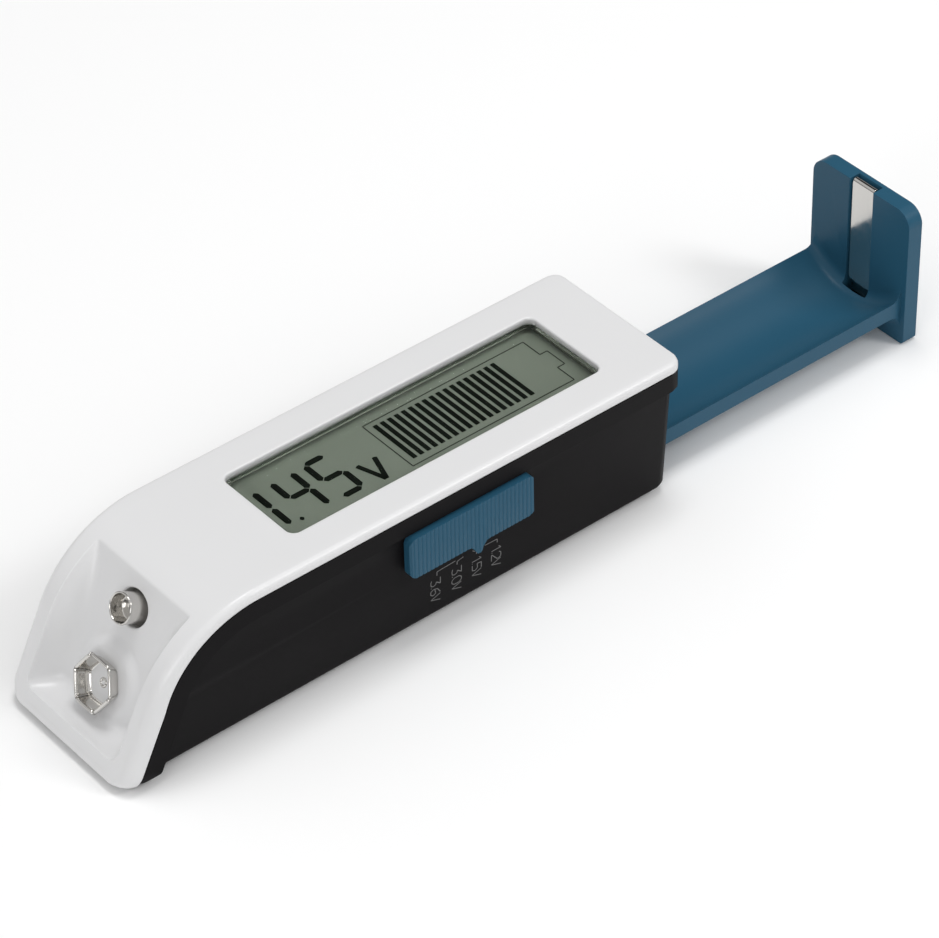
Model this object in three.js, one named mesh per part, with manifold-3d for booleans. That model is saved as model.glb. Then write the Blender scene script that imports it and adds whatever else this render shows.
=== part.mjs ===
// A hand-held battery tester with a liquid-crystal display.
//
// A white cover and a black base shell make a case whose front end slopes down to a nose. A tray with an
// end plate slides out of the other end and holds a round cell against the contact in the case's end wall.
// The nose has a pocket with the stud and the socket for a 9 V block, and a slide on the long side picks
// the cell type.
//
// Millimetres. +Z is up, +X runs from the nose to the tray, and -Y is the side with the selector. The
// origin is the centre of the flat underside of the case.

import * as THREE from 'three';
import { mergeVertices } from 'three/addons/utils/BufferGeometryUtils.js';
import Module from 'manifold-3d';

// ---------------------------------------------------------------------------------------------------------
// Driving dimensions
// ---------------------------------------------------------------------------------------------------------

// Case
const CASE_LENGTH = 108;
const CASE_WIDTH = 30.4;
const CASE_HEIGHT = 25;
const NOSE_ANGLE = THREE.MathUtils.degToRad(63.5);
const NOSE_RADIUS = 22;
const COVER_WALL = 1.8;
const COVER_SKIRT_TOP = 1.6;
const COVER_SKIRT_NOSE = 2.45;
const TOP_EDGE_RADIUS = 1;
const NOSE_EDGE_RADIUS = 2.4;
const END_CORNER_RADIUS = 2.6;
const FOOT_CORNER_RADIUS = 4;
const FOOT_EDGE_RADIUS = 1.1;
const SEAM = 0.2;
const BAND_HEIGHT = 3.3;
const BODY_INSET_TOP = 0.9;
const BODY_INSET_BOTTOM = 1.6;
const BODY_CORNER_RADIUS = 2.4;
const BODY_BOTTOM_RADIUS = 0.9;
const CAVITY_HALF_WIDTH = 12.3;
const END_WALL_INNER_X = 50.8;
const FLOOR = 1.6;

// Nose pocket for the 9 V block
const POCKET_DEPTH = 4.7;
const POCKET_HALF_WIDTH = 11.2;
const POCKET_FLOOR_HALF_WIDTH = 8.8;
const POCKET_START = 3.4;
const POCKET_WALL = 1.5;
const SNAP_SPACING = 12.7;
const SNAP_MIDDLE = 16.5;

// Display
const DISPLAY_CENTRE_X = 13.1;
const DISPLAY_LENGTH = 59.7;
const DISPLAY_WIDTH = 17.3;
const DISPLAY_RECESS = 0.9;

// Battery tray: the cradle is a strip of a round trough, wide enough to steady a D cell
const CRADLE_RADIUS = 14.5;
const CRADLE_THICKNESS = 2.2;
const CRADLE_BOTTOM = 3.3;
const TRAY_HALF_WIDTH = 10.2;
const TRAY_LENGTH = 80;
const TRAY_OUT = 51.5;
const TRAY_SPARE_TRAVEL = 12.5;
const PLATE_THICKNESS = 2.9;
const PLATE_HALF_WIDTH = 11.2;
const PLATE_TOP = 24.9;
const PLATE_BOTTOM = -1.1;
const PLATE_TOP_RADIUS = 3;
const PLATE_BOTTOM_RADIUS = 0.8;
const TRAY_FILLET = 2;

// Sheet-metal contacts
const STRIP_THICKNESS = 0.4;
const STRIP_WIDTH = 4.8;

// Selector slide
const KNOB_LENGTH = 24;
const KNOB_HEIGHT = 7.6;
const KNOB_MIDDLE_X = 11.1;
const KNOB_MIDDLE_Z = 15.7;
const KNOB_BACK_Y = -14.55;
const KNOB_FRONT_Y = -16.1;
const POINTER_X = 12.2;
const SELECTOR_BACK_TRAVEL = 4;
const SELECTOR_FORWARD_TRAVEL = 2;
const LEVER_Z = 14.1;

// Circuit board
const BOARD_BOTTOM = 15.7;
const BOARD_THICKNESS = 1.6;

// Fits
const CLEARANCE = 0.3;

// Worked out from the above
const HALF_LENGTH = CASE_LENGTH / 2;
const HALF_WIDTH = CASE_WIDTH / 2;
const PLATE_FACE_X = HALF_LENGTH + TRAY_OUT;
const TRAY_TAIL_X = PLATE_FACE_X - TRAY_LENGTH;
const CRADLE_CENTRE_Z = CRADLE_BOTTOM + CRADLE_RADIUS;
const WINDOW_TOP = CASE_HEIGHT - DISPLAY_RECESS;
const BOARD_TOP = BOARD_BOTTOM + BOARD_THICKNESS;

// ---------------------------------------------------------------------------------------------------------
// Materials
// ---------------------------------------------------------------------------------------------------------

function finish(color, roughness, metalness = 0) {
  return new THREE.MeshStandardMaterial({ color, roughness, metalness });
}

const whitePlastic = finish(0xe3e3e3, 0.45);
const blackPlastic = finish(0x262526, 0.5);
const bluePlastic = finish(0x2c546b, 0.45);
const clearPlastic = finish(0xaab5ac, 0.08);
const displayGlass = finish(0x585f56, 0.15);
const framePlastic = finish(0xd8d8d2, 0.6);
const connectorRubber = finish(0x33302e, 0.8);
const boardLaminate = finish(0x1f5a37, 0.5);
const chipResin = finish(0x151515, 0.6);
const resistorBody = finish(0xc8b184, 0.6);
const nickel = finish(0xbebbb4, 0.25, 1);
const fibreBoard = finish(0x2a221c, 0.8);
const redSleeve = finish(0xa11f1c, 0.5);
const blackSleeve = finish(0x1a1a1a, 0.5);
const zincSteel = finish(0x8e9093, 0.35, 1);

// ---------------------------------------------------------------------------------------------------------
// Shape tools
// ---------------------------------------------------------------------------------------------------------

const wasm = await Module();
wasm.setup();

// A closed three.js geometry as a solid that can be joined and cut.
function solid(geometry) {
  const bare = geometry.clone();
  bare.deleteAttribute('normal');
  bare.deleteAttribute('uv');
  const merged = mergeVertices(bare, 1e-4);
  return new wasm.Manifold(new wasm.Mesh({
    numProp: 3,
    vertProperties: new Float32Array(merged.attributes.position.array),
    triVerts: new Uint32Array(merged.index.array),
  }));
}

// A solid as a three.js geometry.
function skin(body) {
  const mesh = body.getMesh();
  const geometry = new THREE.BufferGeometry();
  geometry.setAttribute('position', new THREE.BufferAttribute(mesh.vertProperties, 3));
  geometry.setIndex(new THREE.BufferAttribute(mesh.triVerts, 1));
  const faceted = geometry.toNonIndexed();
  faceted.computeVertexNormals();
  return faceted;
}

// A prism of a shape drawn in X and Z, from y = low to y = high.
function alongY(shape, low, high, curveSegments = 12) {
  const geometry = new THREE.ExtrudeGeometry(shape, {
    depth: high - low, bevelEnabled: false, curveSegments,
  });
  return geometry.rotateX(Math.PI / 2).translate(0, high, 0);
}

// A prism of a shape drawn in Y and Z, from x = low to x = high.
function alongX(shape, low, high, curveSegments = 12) {
  const geometry = new THREE.ExtrudeGeometry(shape, {
    depth: high - low, bevelEnabled: false, curveSegments,
  });
  const turn = new THREE.Matrix4().set(0, 0, 1, low, 1, 0, 0, 0, 0, 1, 0, 0, 0, 0, 0, 1);
  return geometry.applyMatrix4(turn);
}

// A prism of a shape drawn in X and Y, from z = low to z = high.
function alongZ(shape, low, high, curveSegments = 12) {
  const geometry = new THREE.ExtrudeGeometry(shape, {
    depth: high - low, bevelEnabled: false, curveSegments,
  });
  return geometry.translate(0, 0, low);
}

// A box between two corners.
function block(x0, x1, y0, y1, z0, z1) {
  const geometry = new THREE.BoxGeometry(x1 - x0, y1 - y0, z1 - z0);
  return geometry.translate((x0 + x1) / 2, (y0 + y1) / 2, (z0 + z1) / 2);
}

// A rectangle with rounded corners, one radius for the two lower and one for the two upper corners.
function roundedRectangle(x0, x1, y0, y1, lower, upper = lower) {
  const shape = new THREE.Shape();
  shape.moveTo(x0 + lower, y0);
  shape.lineTo(x1 - lower, y0);
  shape.absarc(x1 - lower, y0 + lower, lower, -Math.PI / 2, 0, false);
  shape.lineTo(x1, y1 - upper);
  shape.absarc(x1 - upper, y1 - upper, upper, 0, Math.PI / 2, false);
  shape.lineTo(x0 + upper, y1);
  shape.absarc(x0 + upper, y1 - upper, upper, Math.PI / 2, Math.PI, false);
  shape.lineTo(x0, y0 + lower);
  shape.absarc(x0 + lower, y0 + lower, lower, Math.PI, Math.PI * 1.5, false);
  return shape;
}

// A solid through a row of sections. Every section is a closed outline with the same number of points,
// and place(i, point) puts a point of section i in space. The two ends are closed by a zigzag of triangles
// between the outline's two sides.
function loft(sections, place) {
  const count = sections[0].length;
  const positions = [];
  const index = [];
  sections.forEach((section, i) => {
    section.forEach((point) => positions.push(...place(i, point).toArray()));
  });
  for (let i = 0; i < sections.length - 1; i += 1) {
    for (let j = 0; j < count; j += 1) {
      const a = i * count + j;
      const b = i * count + ((j + 1) % count);
      index.push(a, b, b + count, a, b + count, a + count);
    }
  }
  const lastRow = (sections.length - 1) * count;
  let left = 0;
  let right = count - 1;
  while (right - left > 1) {
    index.push(right, left + 1, left, lastRow + left, lastRow + left + 1, lastRow + right);
    left += 1;
    if (right - left > 1) {
      index.push(right, right - 1, left, lastRow + left, lastRow + right - 1, lastRow + right);
      right -= 1;
    }
  }
  const geometry = new THREE.BufferGeometry();
  geometry.setAttribute('position', new THREE.Float32BufferAttribute(positions, 3));
  geometry.setIndex(index);
  return facedOutwards(geometry);
}

// Turns every triangle round when the geometry's signed volume is negative.
function facedOutwards(geometry) {
  const position = geometry.attributes.position;
  const index = geometry.index.array;
  const a = new THREE.Vector3();
  const b = new THREE.Vector3();
  const c = new THREE.Vector3();
  let volume = 0;
  for (let i = 0; i < index.length; i += 3) {
    a.fromBufferAttribute(position, index[i]);
    b.fromBufferAttribute(position, index[i + 1]);
    c.fromBufferAttribute(position, index[i + 2]);
    volume += a.dot(b.cross(c));
  }
  if (volume < 0) {
    for (let i = 0; i < index.length; i += 3) {
      [index[i + 1], index[i + 2]] = [index[i + 2], index[i + 1]];
    }
  }
  return geometry;
}

// How far a rounded edge of the given radius has drawn back, at a distance from its end.
function roundOff(radius, distance) {
  const rest = Math.max(0, radius - distance);
  return radius - Math.sqrt(radius * radius - rest * rest);
}

// A bent strip of sheet metal: a centre line drawn in X and Z, a thickness and a width across Y.
function bentStrip(centreLine, divisions, thickness, width) {
  const line = centreLine.getPoints(divisions);
  const upper = [];
  const lower = [];
  line.forEach((point, i) => {
    const into = point.clone().sub(line[i - 1] ?? point).normalize();
    const out = (line[i + 1] ?? point).clone().sub(point).normalize();
    const along = into.clone().add(out).normalize();
    const cosine = i > 0 && i < line.length - 1 ? along.dot(into) : 1;
    const across = along.rotateAround(new THREE.Vector2(), Math.PI / 2);
    upper.push(point.clone().addScaledVector(across, thickness / 2 / cosine));
    lower.unshift(point.clone().addScaledVector(across, -thickness / 2 / cosine));
  });
  return alongY(new THREE.Shape([...upper, ...lower]), -width / 2, width / 2);
}

// A path of straight runs with a round bend at each inner corner. The bend starts at the given distance from
// the corner, or halfway along a shorter run.
function bentPath(corners, radius) {
  const path = new THREE.Path();
  path.moveTo(corners[0][0], corners[0][1]);
  for (let i = 1; i < corners.length - 1; i += 1) {
    const corner = new THREE.Vector2(...corners[i]);
    const [into, out] = [corners[i - 1], corners[i + 1]].map((next) => {
      const run = new THREE.Vector2(...next).sub(corner);
      return run.setLength(Math.min(radius, run.length() / 2)).add(corner);
    });
    path.lineTo(into.x, into.y);
    path.quadraticCurveTo(corner.x, corner.y, out.x, out.y);
  }
  const last = corners[corners.length - 1];
  path.lineTo(last[0], last[1]);
  return path;
}

// ---------------------------------------------------------------------------------------------------------
// The case's side profile: flat top, nose arc, straight slope down to the underside
// ---------------------------------------------------------------------------------------------------------

const slopeRun = CASE_HEIGHT / Math.tan(NOSE_ANGLE);
const arcTangent = NOSE_RADIUS * Math.tan(NOSE_ANGLE / 2);
const arcCentre = new THREE.Vector2(
  -HALF_LENGTH + slopeRun + arcTangent,
  CASE_HEIGHT - NOSE_RADIUS,
);
const slopeLength = CASE_HEIGHT / Math.sin(NOSE_ANGLE) - arcTangent;
const slopeUp = new THREE.Vector2(Math.cos(NOSE_ANGLE), Math.sin(NOSE_ANGLE));
const slopeIn = new THREE.Vector2(Math.sin(NOSE_ANGLE), -Math.cos(NOSE_ANGLE));

// A station on the profile: a point, the inward direction there, and how far down the nose it is,
// from 0 on the flat top to 1 on the slope. A station near one of the case's ends has its distance from it.
function flatStation(x) {
  return { at: new THREE.Vector2(x, CASE_HEIGHT), inward: new THREE.Vector2(0, -1), nose: 0 };
}

function arcStation(angle) {
  const outward = new THREE.Vector2(-Math.sin(angle), Math.cos(angle));
  return {
    at: arcCentre.clone().addScaledVector(outward, NOSE_RADIUS),
    inward: outward.clone().negate(),
    nose: angle / NOSE_ANGLE,
  };
}

function slopeStation(up) {
  const tip = new THREE.Vector2(-HALF_LENGTH, 0);
  return { at: tip.addScaledVector(slopeUp, up), inward: slopeIn.clone(), nose: 1 };
}

const END_ROUNDING_STEPS = [0, 0.12, 0.45, 1.1, END_CORNER_RADIUS];
const FOOT_ROUNDING_STEPS = [0, 0.14, 0.54, 1.17, 2, 2.96, FOOT_CORNER_RADIUS];

// Stations from the tray end round the nose and a little past the underside.
function profileStations(endDistances, arcSteps) {
  const stations = endDistances.map((distance) => ({
    ...flatStation(HALF_LENGTH - distance), endDistance: distance,
  }));
  for (let i = 0; i <= arcSteps; i += 1) {
    stations.push(arcStation((NOSE_ANGLE * i) / arcSteps));
  }
  stations.push(slopeStation(slopeLength / 2));
  for (const up of [...FOOT_ROUNDING_STEPS].reverse()) {
    stations.push({ ...slopeStation(up), footDistance: up });
  }
  stations.push({ ...slopeStation(-4), footDistance: 0 });
  return stations;
}

function skirtDepth(station) {
  return THREE.MathUtils.lerp(COVER_SKIRT_TOP, COVER_SKIRT_NOSE, station.nose ** 3);
}

// How far the side has drawn in at a station, where the corners at the tray end and at the foot are rounded.
function sideRounding(station) {
  const atEnd = roundOff(END_CORNER_RADIUS, station.endDistance ?? Infinity);
  const atFoot = roundOff(FOOT_CORNER_RADIUS, station.footDistance ?? Infinity);
  return atEnd + atFoot;
}

function inPlace(station, point) {
  const spot = station.at.clone().addScaledVector(station.inward, point.y);
  return new THREE.Vector3(spot.x, point.x, spot.y);
}

// The outline across the case at a station: x is the width and y the depth below the outer face. The two
// upper corners are rounded, by more on the nose than on the top.
function acrossCase(station, halfWidth, shallow, deep, arcSteps = 5) {
  const side = halfWidth - sideRounding(station);
  const top = shallow + roundOff(TOP_EDGE_RADIUS, station.endDistance ?? Infinity);
  const wanted = THREE.MathUtils.lerp(TOP_EDGE_RADIUS, NOSE_EDGE_RADIUS, station.nose ** 2);
  const radius = Math.min(wanted, deep - top - 0.3);
  const points = [new THREE.Vector2(-side, deep)];
  for (let i = 0; i <= arcSteps; i += 1) {
    const angle = (Math.PI / 2) * (i / arcSteps);
    points.push(new THREE.Vector2(
      -side + radius * (1 - Math.cos(angle)),
      top + radius * (1 - Math.sin(angle)),
    ));
  }
  const mirrored = points.map((point) => new THREE.Vector2(-point.x, point.y)).reverse();
  return [...points, ...mirrored];
}


// ---------------------------------------------------------------------------------------------------------
// Nose pocket
// ---------------------------------------------------------------------------------------------------------

// Depth of the outer face below the slope's plane, at a distance up the slope.
function faceDepth(up) {
  const beyond = Math.max(0, up - slopeLength);
  return NOSE_RADIUS - Math.sqrt(Math.max(0, NOSE_RADIUS ** 2 - beyond ** 2));
}

// The pocket's solid, grown outwards by a wall thickness. Its floor is parallel to the slope and runs out
// through the nose arc at the top, so its side walls get lower on the way up and end in a sharp edge.
function pocketForm(grow, rise) {
  const sections = [];
  const ups = [];
  const steps = 26;
  const length = 30;
  for (let i = 0; i <= steps; i += 1) {
    const up = POCKET_START - grow + (length + grow) * (i / steps) ** 1.6;
    const fromEnd = up - (POCKET_START - grow);
    const rounding = 3 + grow;
    const wall = 3.2;
    const corner = roundOff(rounding, fromEnd);
    const ramp = Math.min(1, fromEnd / wall);
    const floor = (POCKET_DEPTH + grow) * Math.sin((ramp * Math.PI) / 2);
    const face = faceDepth(up);
    const wallShare = Math.min(1, Math.max(0, (floor - face) / POCKET_DEPTH));
    const outer = POCKET_HALF_WIDTH + grow - corner;
    const inset = (POCKET_HALF_WIDTH - POCKET_FLOOR_HALF_WIDTH) * wallShare;
    const bend = Math.max(face, face - rise + 0.05);
    const lowest = Math.max(floor, bend + 0.02);
    sections.push(trough(outer, outer - inset, face - rise, bend, lowest));
    ups.push(up);
  }
  return loft(sections, (i, point) => inPlace(slopeStation(ups[i]), point));
}

// Section of the pocket: straight down to the bend, then leaning walls that are rounded into the floor.
function trough(outerHalf, floorHalf, above, bend, floor) {
  const half = [
    new THREE.Vector2(-outerHalf, above),
    new THREE.Vector2(-outerHalf, bend),
  ];
  const curve = new THREE.QuadraticBezierCurve(
    new THREE.Vector2(-outerHalf, bend).lerp(new THREE.Vector2(-floorHalf, floor), 0.55),
    new THREE.Vector2(-floorHalf, floor),
    new THREE.Vector2(-floorHalf, floor).lerp(new THREE.Vector2(0, floor), 0.22),
  );
  half.push(...curve.getPoints(4));
  return [...half, ...half.map((point) => new THREE.Vector2(-point.x, point.y)).reverse()];
}

// Puts a part that is drawn about the Z axis on the pocket floor, at a distance up the slope.
function onPocketFloor(geometry, up) {
  const foot = slopeStation(up);
  const spot = foot.at.addScaledVector(foot.inward, POCKET_DEPTH);
  return geometry.clone()
    .applyMatrix4(new THREE.Matrix4().makeRotationY(-NOSE_ANGLE))
    .applyMatrix4(new THREE.Matrix4().makeTranslation(spot.x, 0, spot.y));
}

const STUD_UP = SNAP_MIDDLE + SNAP_SPACING / 2;
const SOCKET_UP = SNAP_MIDDLE - SNAP_SPACING / 2;
const STUD_HOLE_RADIUS = 3.3;
const SOCKET_HOLE_RADIUS = 4.9;

// A plain cylinder on the Z axis between two heights.
function roundBar(radius, low, high, segments = 24) {
  const geometry = new THREE.CylinderGeometry(radius, radius, high - low, segments);
  return geometry.rotateX(Math.PI / 2).translate(0, 0, (low + high) / 2);
}

// A turned part on the Z axis from its profile of radius and height.
function turned(profile, segments = 32) {
  const points = profile.map(([radius, height]) => new THREE.Vector2(radius, height));
  return new THREE.LatheGeometry(points, segments).rotateX(Math.PI / 2);
}

// ---------------------------------------------------------------------------------------------------------
// Case screws and their bosses
// ---------------------------------------------------------------------------------------------------------

const SCREW_X = -29.5;
const SCREW_Y = 9;
const BOSS_RADIUS = 2.7;
const BOSS_JOINT_Z = 12;
const SCREW_HEAD_RADIUS = 1.9;
const SCREW_HEAD_TOP = 2.6;
const SCREW_RADIUS = 1;
const SCREW_END_Z = 19;
const PILOT_END_Z = 21;

function atScrew(geometry, side) {
  return geometry.translate(SCREW_X, side * SCREW_Y, 0);
}

// ---------------------------------------------------------------------------------------------------------
// Top cover
// ---------------------------------------------------------------------------------------------------------

// Everything above the flat underside and inside its two rounded long edges.
function aboveGround() {
  const shape = roundedRectangle(-HALF_WIDTH, HALF_WIDTH, 0, CASE_HEIGHT + 5, FOOT_EDGE_RADIUS, 0.1);
  return solid(alongX(shape, -80, 80, 6));
}

function displayOpening(grow, low, high) {
  const halfLength = DISPLAY_LENGTH / 2 + grow;
  const halfWidth = DISPLAY_WIDTH / 2 + grow;
  const shape = roundedRectangle(
    DISPLAY_CENTRE_X - halfLength, DISPLAY_CENTRE_X + halfLength, -halfWidth, halfWidth, 1.5,
  );
  return alongZ(shape, low, high, 4);
}

function topCover() {
  const outerStations = profileStations([...END_ROUNDING_STEPS, 20, 45, 70], 14);
  const outer = loft(
    outerStations.map((station) => acrossCase(station, HALF_WIDTH, 0, skirtDepth(station))),
    (i, point) => inPlace(outerStations[i], point),
  );
  const innerStations = profileStations([COVER_WALL, 20, 45, 70], 14);
  innerStations.forEach((station) => delete station.endDistance);
  const inner = loft(
    innerStations.map((station) => acrossCase(station, HALF_WIDTH - COVER_WALL, COVER_WALL, 9)),
    (i, point) => inPlace(innerStations[i], point),
  );
  let cover = solid(outer).subtract(solid(inner));

  const pocketBack = solid(pocketForm(POCKET_WALL, -0.6));
  cover = cover.add(pocketBack).subtract(solid(pocketForm(0, 3)));
  const socketBoss = turned([[0, -0.5], [6.4, -0.5], [6, 0.35], [5.6, 0.7], [0, 0.7]]);
  cover = cover.add(solid(onPocketFloor(socketBoss, SOCKET_UP)));
  cover = cover.subtract(solid(onPocketFloor(roundBar(STUD_HOLE_RADIUS, -4, 4), STUD_UP)));
  cover = cover.subtract(solid(onPocketFloor(roundBar(SOCKET_HOLE_RADIUS, -4, 4), SOCKET_UP)));

  cover = cover.subtract(solid(displayOpening(0, CASE_HEIGHT - 5, CASE_HEIGHT + 1)));
  for (const side of [-1, 1]) {
    const boss = solid(atScrew(roundBar(BOSS_RADIUS, BOSS_JOINT_Z + CLEARANCE, CASE_HEIGHT - 1), side));
    const pilot = solid(atScrew(roundBar(SCREW_RADIUS + CLEARANCE, BOSS_JOINT_Z, PILOT_END_Z, 16), side));
    cover = cover.add(boss).subtract(pilot);
    for (const x of [-21.3, 47.4]) {
      const post = roundBar(1.5, BOARD_TOP + CLEARANCE, CASE_HEIGHT - 1, 12);
      cover = cover.add(solid(post.translate(x, side * 10, 0)));
    }
  }
  return cover.intersect(aboveGround());
}

// ---------------------------------------------------------------------------------------------------------
// Battery tray
// ---------------------------------------------------------------------------------------------------------

// Section of the cradle in Y and Z: two arcs about one centre, cut off square at the tray's edges.
function cradleSection(grow, radiusShift = 0, steps = 14) {
  const halfWidth = TRAY_HALF_WIDTH + grow;
  const inner = CRADLE_RADIUS - grow - radiusShift;
  const outer = CRADLE_RADIUS + CRADLE_THICKNESS + grow + radiusShift;
  const points = [];
  for (const [radius, direction] of [[inner, 1], [outer, -1]]) {
    const reach = Math.asin(halfWidth / radius);
    for (let i = 0; i <= steps; i += 1) {
      const angle = direction * reach * (1 - (2 * i) / steps);
      points.push(new THREE.Vector2(
        radius * Math.sin(angle),
        CRADLE_CENTRE_Z - radius * Math.cos(angle),
      ));
    }
  }
  return points;
}

function plateShape() {
  return roundedRectangle(
    -PLATE_HALF_WIDTH, PLATE_HALF_WIDTH, PLATE_BOTTOM, PLATE_TOP, PLATE_BOTTOM_RADIUS, PLATE_TOP_RADIUS,
  );
}

const STOP_LUG_X = END_WALL_INNER_X - CLEARANCE - TRAY_SPARE_TRAVEL;
const STOP_LUG_LENGTH = 3;
const STOP_LUG_OUT = 1.3;
const STOP_LUG_LOW = 5.1;
const STOP_LUG_HIGH = 7.1;

// The bent strip on the tray: from the hem at the end plate's top down its groove, along the underside, round
// the tail, and up into the bow that wipes along the rail in the case.
const STRIP_UNDER_Z = CRADLE_BOTTOM - CRADLE_THICKNESS + 0.35;
const PLATE_STRIP_X = PLATE_FACE_X + 0.6;
const HEM_DEPTH = 0.9;
const HEM_LENGTH = 1.5;
const HEM_TOP = PLATE_TOP - 0.3;
const BOW_TOP_Z = 8.7;

function trayStrip(thickness, width) {
  const tail = TRAY_TAIL_X - 0.7;
  const path = bentPath([
    [PLATE_STRIP_X + HEM_DEPTH, HEM_TOP - HEM_LENGTH],
    [PLATE_STRIP_X + HEM_DEPTH, HEM_TOP],
    [PLATE_STRIP_X, HEM_TOP],
    [PLATE_STRIP_X, STRIP_UNDER_Z],
    [tail, STRIP_UNDER_Z],
    [tail, CRADLE_BOTTOM + 0.6],
    [tail + 2.4, CRADLE_BOTTOM + 0.6],
    [tail + 6.4, BOW_TOP_Z],
    [tail + 8.8, BOW_TOP_Z],
    [tail + 12.2, CRADLE_BOTTOM + 2.2],
  ], 0.9);
  return bentStrip(path, 5, thickness, width);
}

function batteryTray() {
  const cradle = alongX(new THREE.Shape(cradleSection(0)), TRAY_TAIL_X, PLATE_FACE_X + 1);
  let tray = solid(cradle);

  const filletSteps = [0, 0.15, 0.5, 1, 1.5, TRAY_FILLET];
  const fillet = loft(
    filletSteps.map((distance) => cradleSection(0, roundOff(TRAY_FILLET, distance))),
    (i, point) => new THREE.Vector3(PLATE_FACE_X + 0.01 - filletSteps[i], point.x, point.y),
  );
  const plate = alongX(plateShape(), PLATE_FACE_X, PLATE_FACE_X + PLATE_THICKNESS, 10);
  tray = tray.add(solid(fillet)).add(solid(plate));

  for (const side of [-1, 1]) {
    const inner = side * (TRAY_HALF_WIDTH - 1);
    const outer = side * (TRAY_HALF_WIDTH + STOP_LUG_OUT);
    const lug = block(
      STOP_LUG_X - STOP_LUG_LENGTH, STOP_LUG_X,
      Math.min(inner, outer), Math.max(inner, outer), STOP_LUG_LOW, STOP_LUG_HIGH,
    );
    tray = tray.add(solid(lug));
  }

  const grooveHalf = STRIP_WIDTH / 2 + CLEARANCE;
  const plateGroove = block(
    PLATE_FACE_X - 0.05, PLATE_FACE_X + 1.3, -grooveHalf, grooveHalf, 1, PLATE_TOP + 1,
  );
  const floorSlot = block(PLATE_FACE_X - 0.7, PLATE_FACE_X + 1.3, -grooveHalf, grooveHalf, 0, 6);
  const underGroove = block(
    TRAY_TAIL_X - 1, PLATE_FACE_X + 0.2, -grooveHalf, grooveHalf, 0, STRIP_UNDER_Z + 0.55,
  );
  const hemRoom = block(
    PLATE_FACE_X + 1, PLATE_STRIP_X + HEM_DEPTH + 0.65, -grooveHalf, grooveHalf,
    HEM_TOP - HEM_LENGTH - CLEARANCE, PLATE_TOP + 1,
  );
  return tray.subtract(solid(plateGroove)).subtract(solid(floorSlot)).subtract(solid(underGroove))
    .subtract(solid(hemRoom));
}

// ---------------------------------------------------------------------------------------------------------
// Selector slide
// ---------------------------------------------------------------------------------------------------------

// The knob's front outline: a rounded bar with a small pointer under it, on a hollow flare.
function knobOutline() {
  const left = KNOB_MIDDLE_X - KNOB_LENGTH / 2;
  const right = KNOB_MIDDLE_X + KNOB_LENGTH / 2;
  const bottom = KNOB_MIDDLE_Z - KNOB_HEIGHT / 2;
  const top = KNOB_MIDDLE_Z + KNOB_HEIGHT / 2;
  const radius = 1.3;
  const drop = 1.9;
  const shape = new THREE.Shape();
  shape.moveTo(left + radius, bottom);
  shape.lineTo(POINTER_X - 2, bottom);
  shape.quadraticCurveTo(POINTER_X - 1.2, bottom - 0.1, POINTER_X - 0.8, bottom - 1);
  shape.quadraticCurveTo(POINTER_X - 0.45, bottom - drop, POINTER_X, bottom - drop);
  shape.quadraticCurveTo(POINTER_X + 0.45, bottom - drop, POINTER_X + 0.8, bottom - 1);
  shape.quadraticCurveTo(POINTER_X + 1.2, bottom - 0.1, POINTER_X + 2, bottom);
  shape.lineTo(right - radius, bottom);
  shape.absarc(right - radius, bottom + radius, radius, -Math.PI / 2, 0, false);
  shape.lineTo(right, top - radius);
  shape.absarc(right - radius, top - radius, radius, 0, Math.PI / 2, false);
  shape.lineTo(left + radius, top);
  shape.absarc(left + radius, top - radius, radius, Math.PI / 2, Math.PI, false);
  shape.lineTo(left, bottom + radius);
  shape.absarc(left + radius, bottom + radius, radius, Math.PI, Math.PI * 1.5, false);
  return shape;
}

// The knob seen from above: a plain back and a front with a row of shallow ribs.
function ribbedPlan() {
  const left = KNOB_MIDDLE_X - KNOB_LENGTH / 2;
  const right = KNOB_MIDDLE_X + KNOB_LENGTH / 2;
  const ribs = 31;
  const pitch = KNOB_LENGTH / ribs;
  const groove = 0.1;
  const shape = new THREE.Shape();
  shape.moveTo(left, KNOB_BACK_Y);
  shape.lineTo(left, KNOB_FRONT_Y + 0.3);
  for (let i = 0; i < ribs; i += 1) {
    const start = left + i * pitch;
    const edge = i === 0 ? 0.3 : 0;
    shape.lineTo(start + Math.max(edge, pitch * 0.15), KNOB_FRONT_Y);
    shape.lineTo(start + pitch * 0.7, KNOB_FRONT_Y);
    if (i < ribs - 1) {
      shape.lineTo(start + pitch * 0.93, KNOB_FRONT_Y + groove);
    }
  }
  shape.lineTo(right, KNOB_FRONT_Y + 0.3);
  shape.lineTo(right, KNOB_BACK_Y);
  return shape;
}

const STEM_HALF_LENGTH = 3;
const STEM_HALF_HEIGHT = 1.6;
const STEM_END_Y = -12.6;
const LEVER_HALF_LENGTH = 1.1;
const LEVER_HALF_HEIGHT = 0.8;
const LEVER_INNER_Y = -10.4;
const LEVER_OUTER_Y = -14.2;

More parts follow.
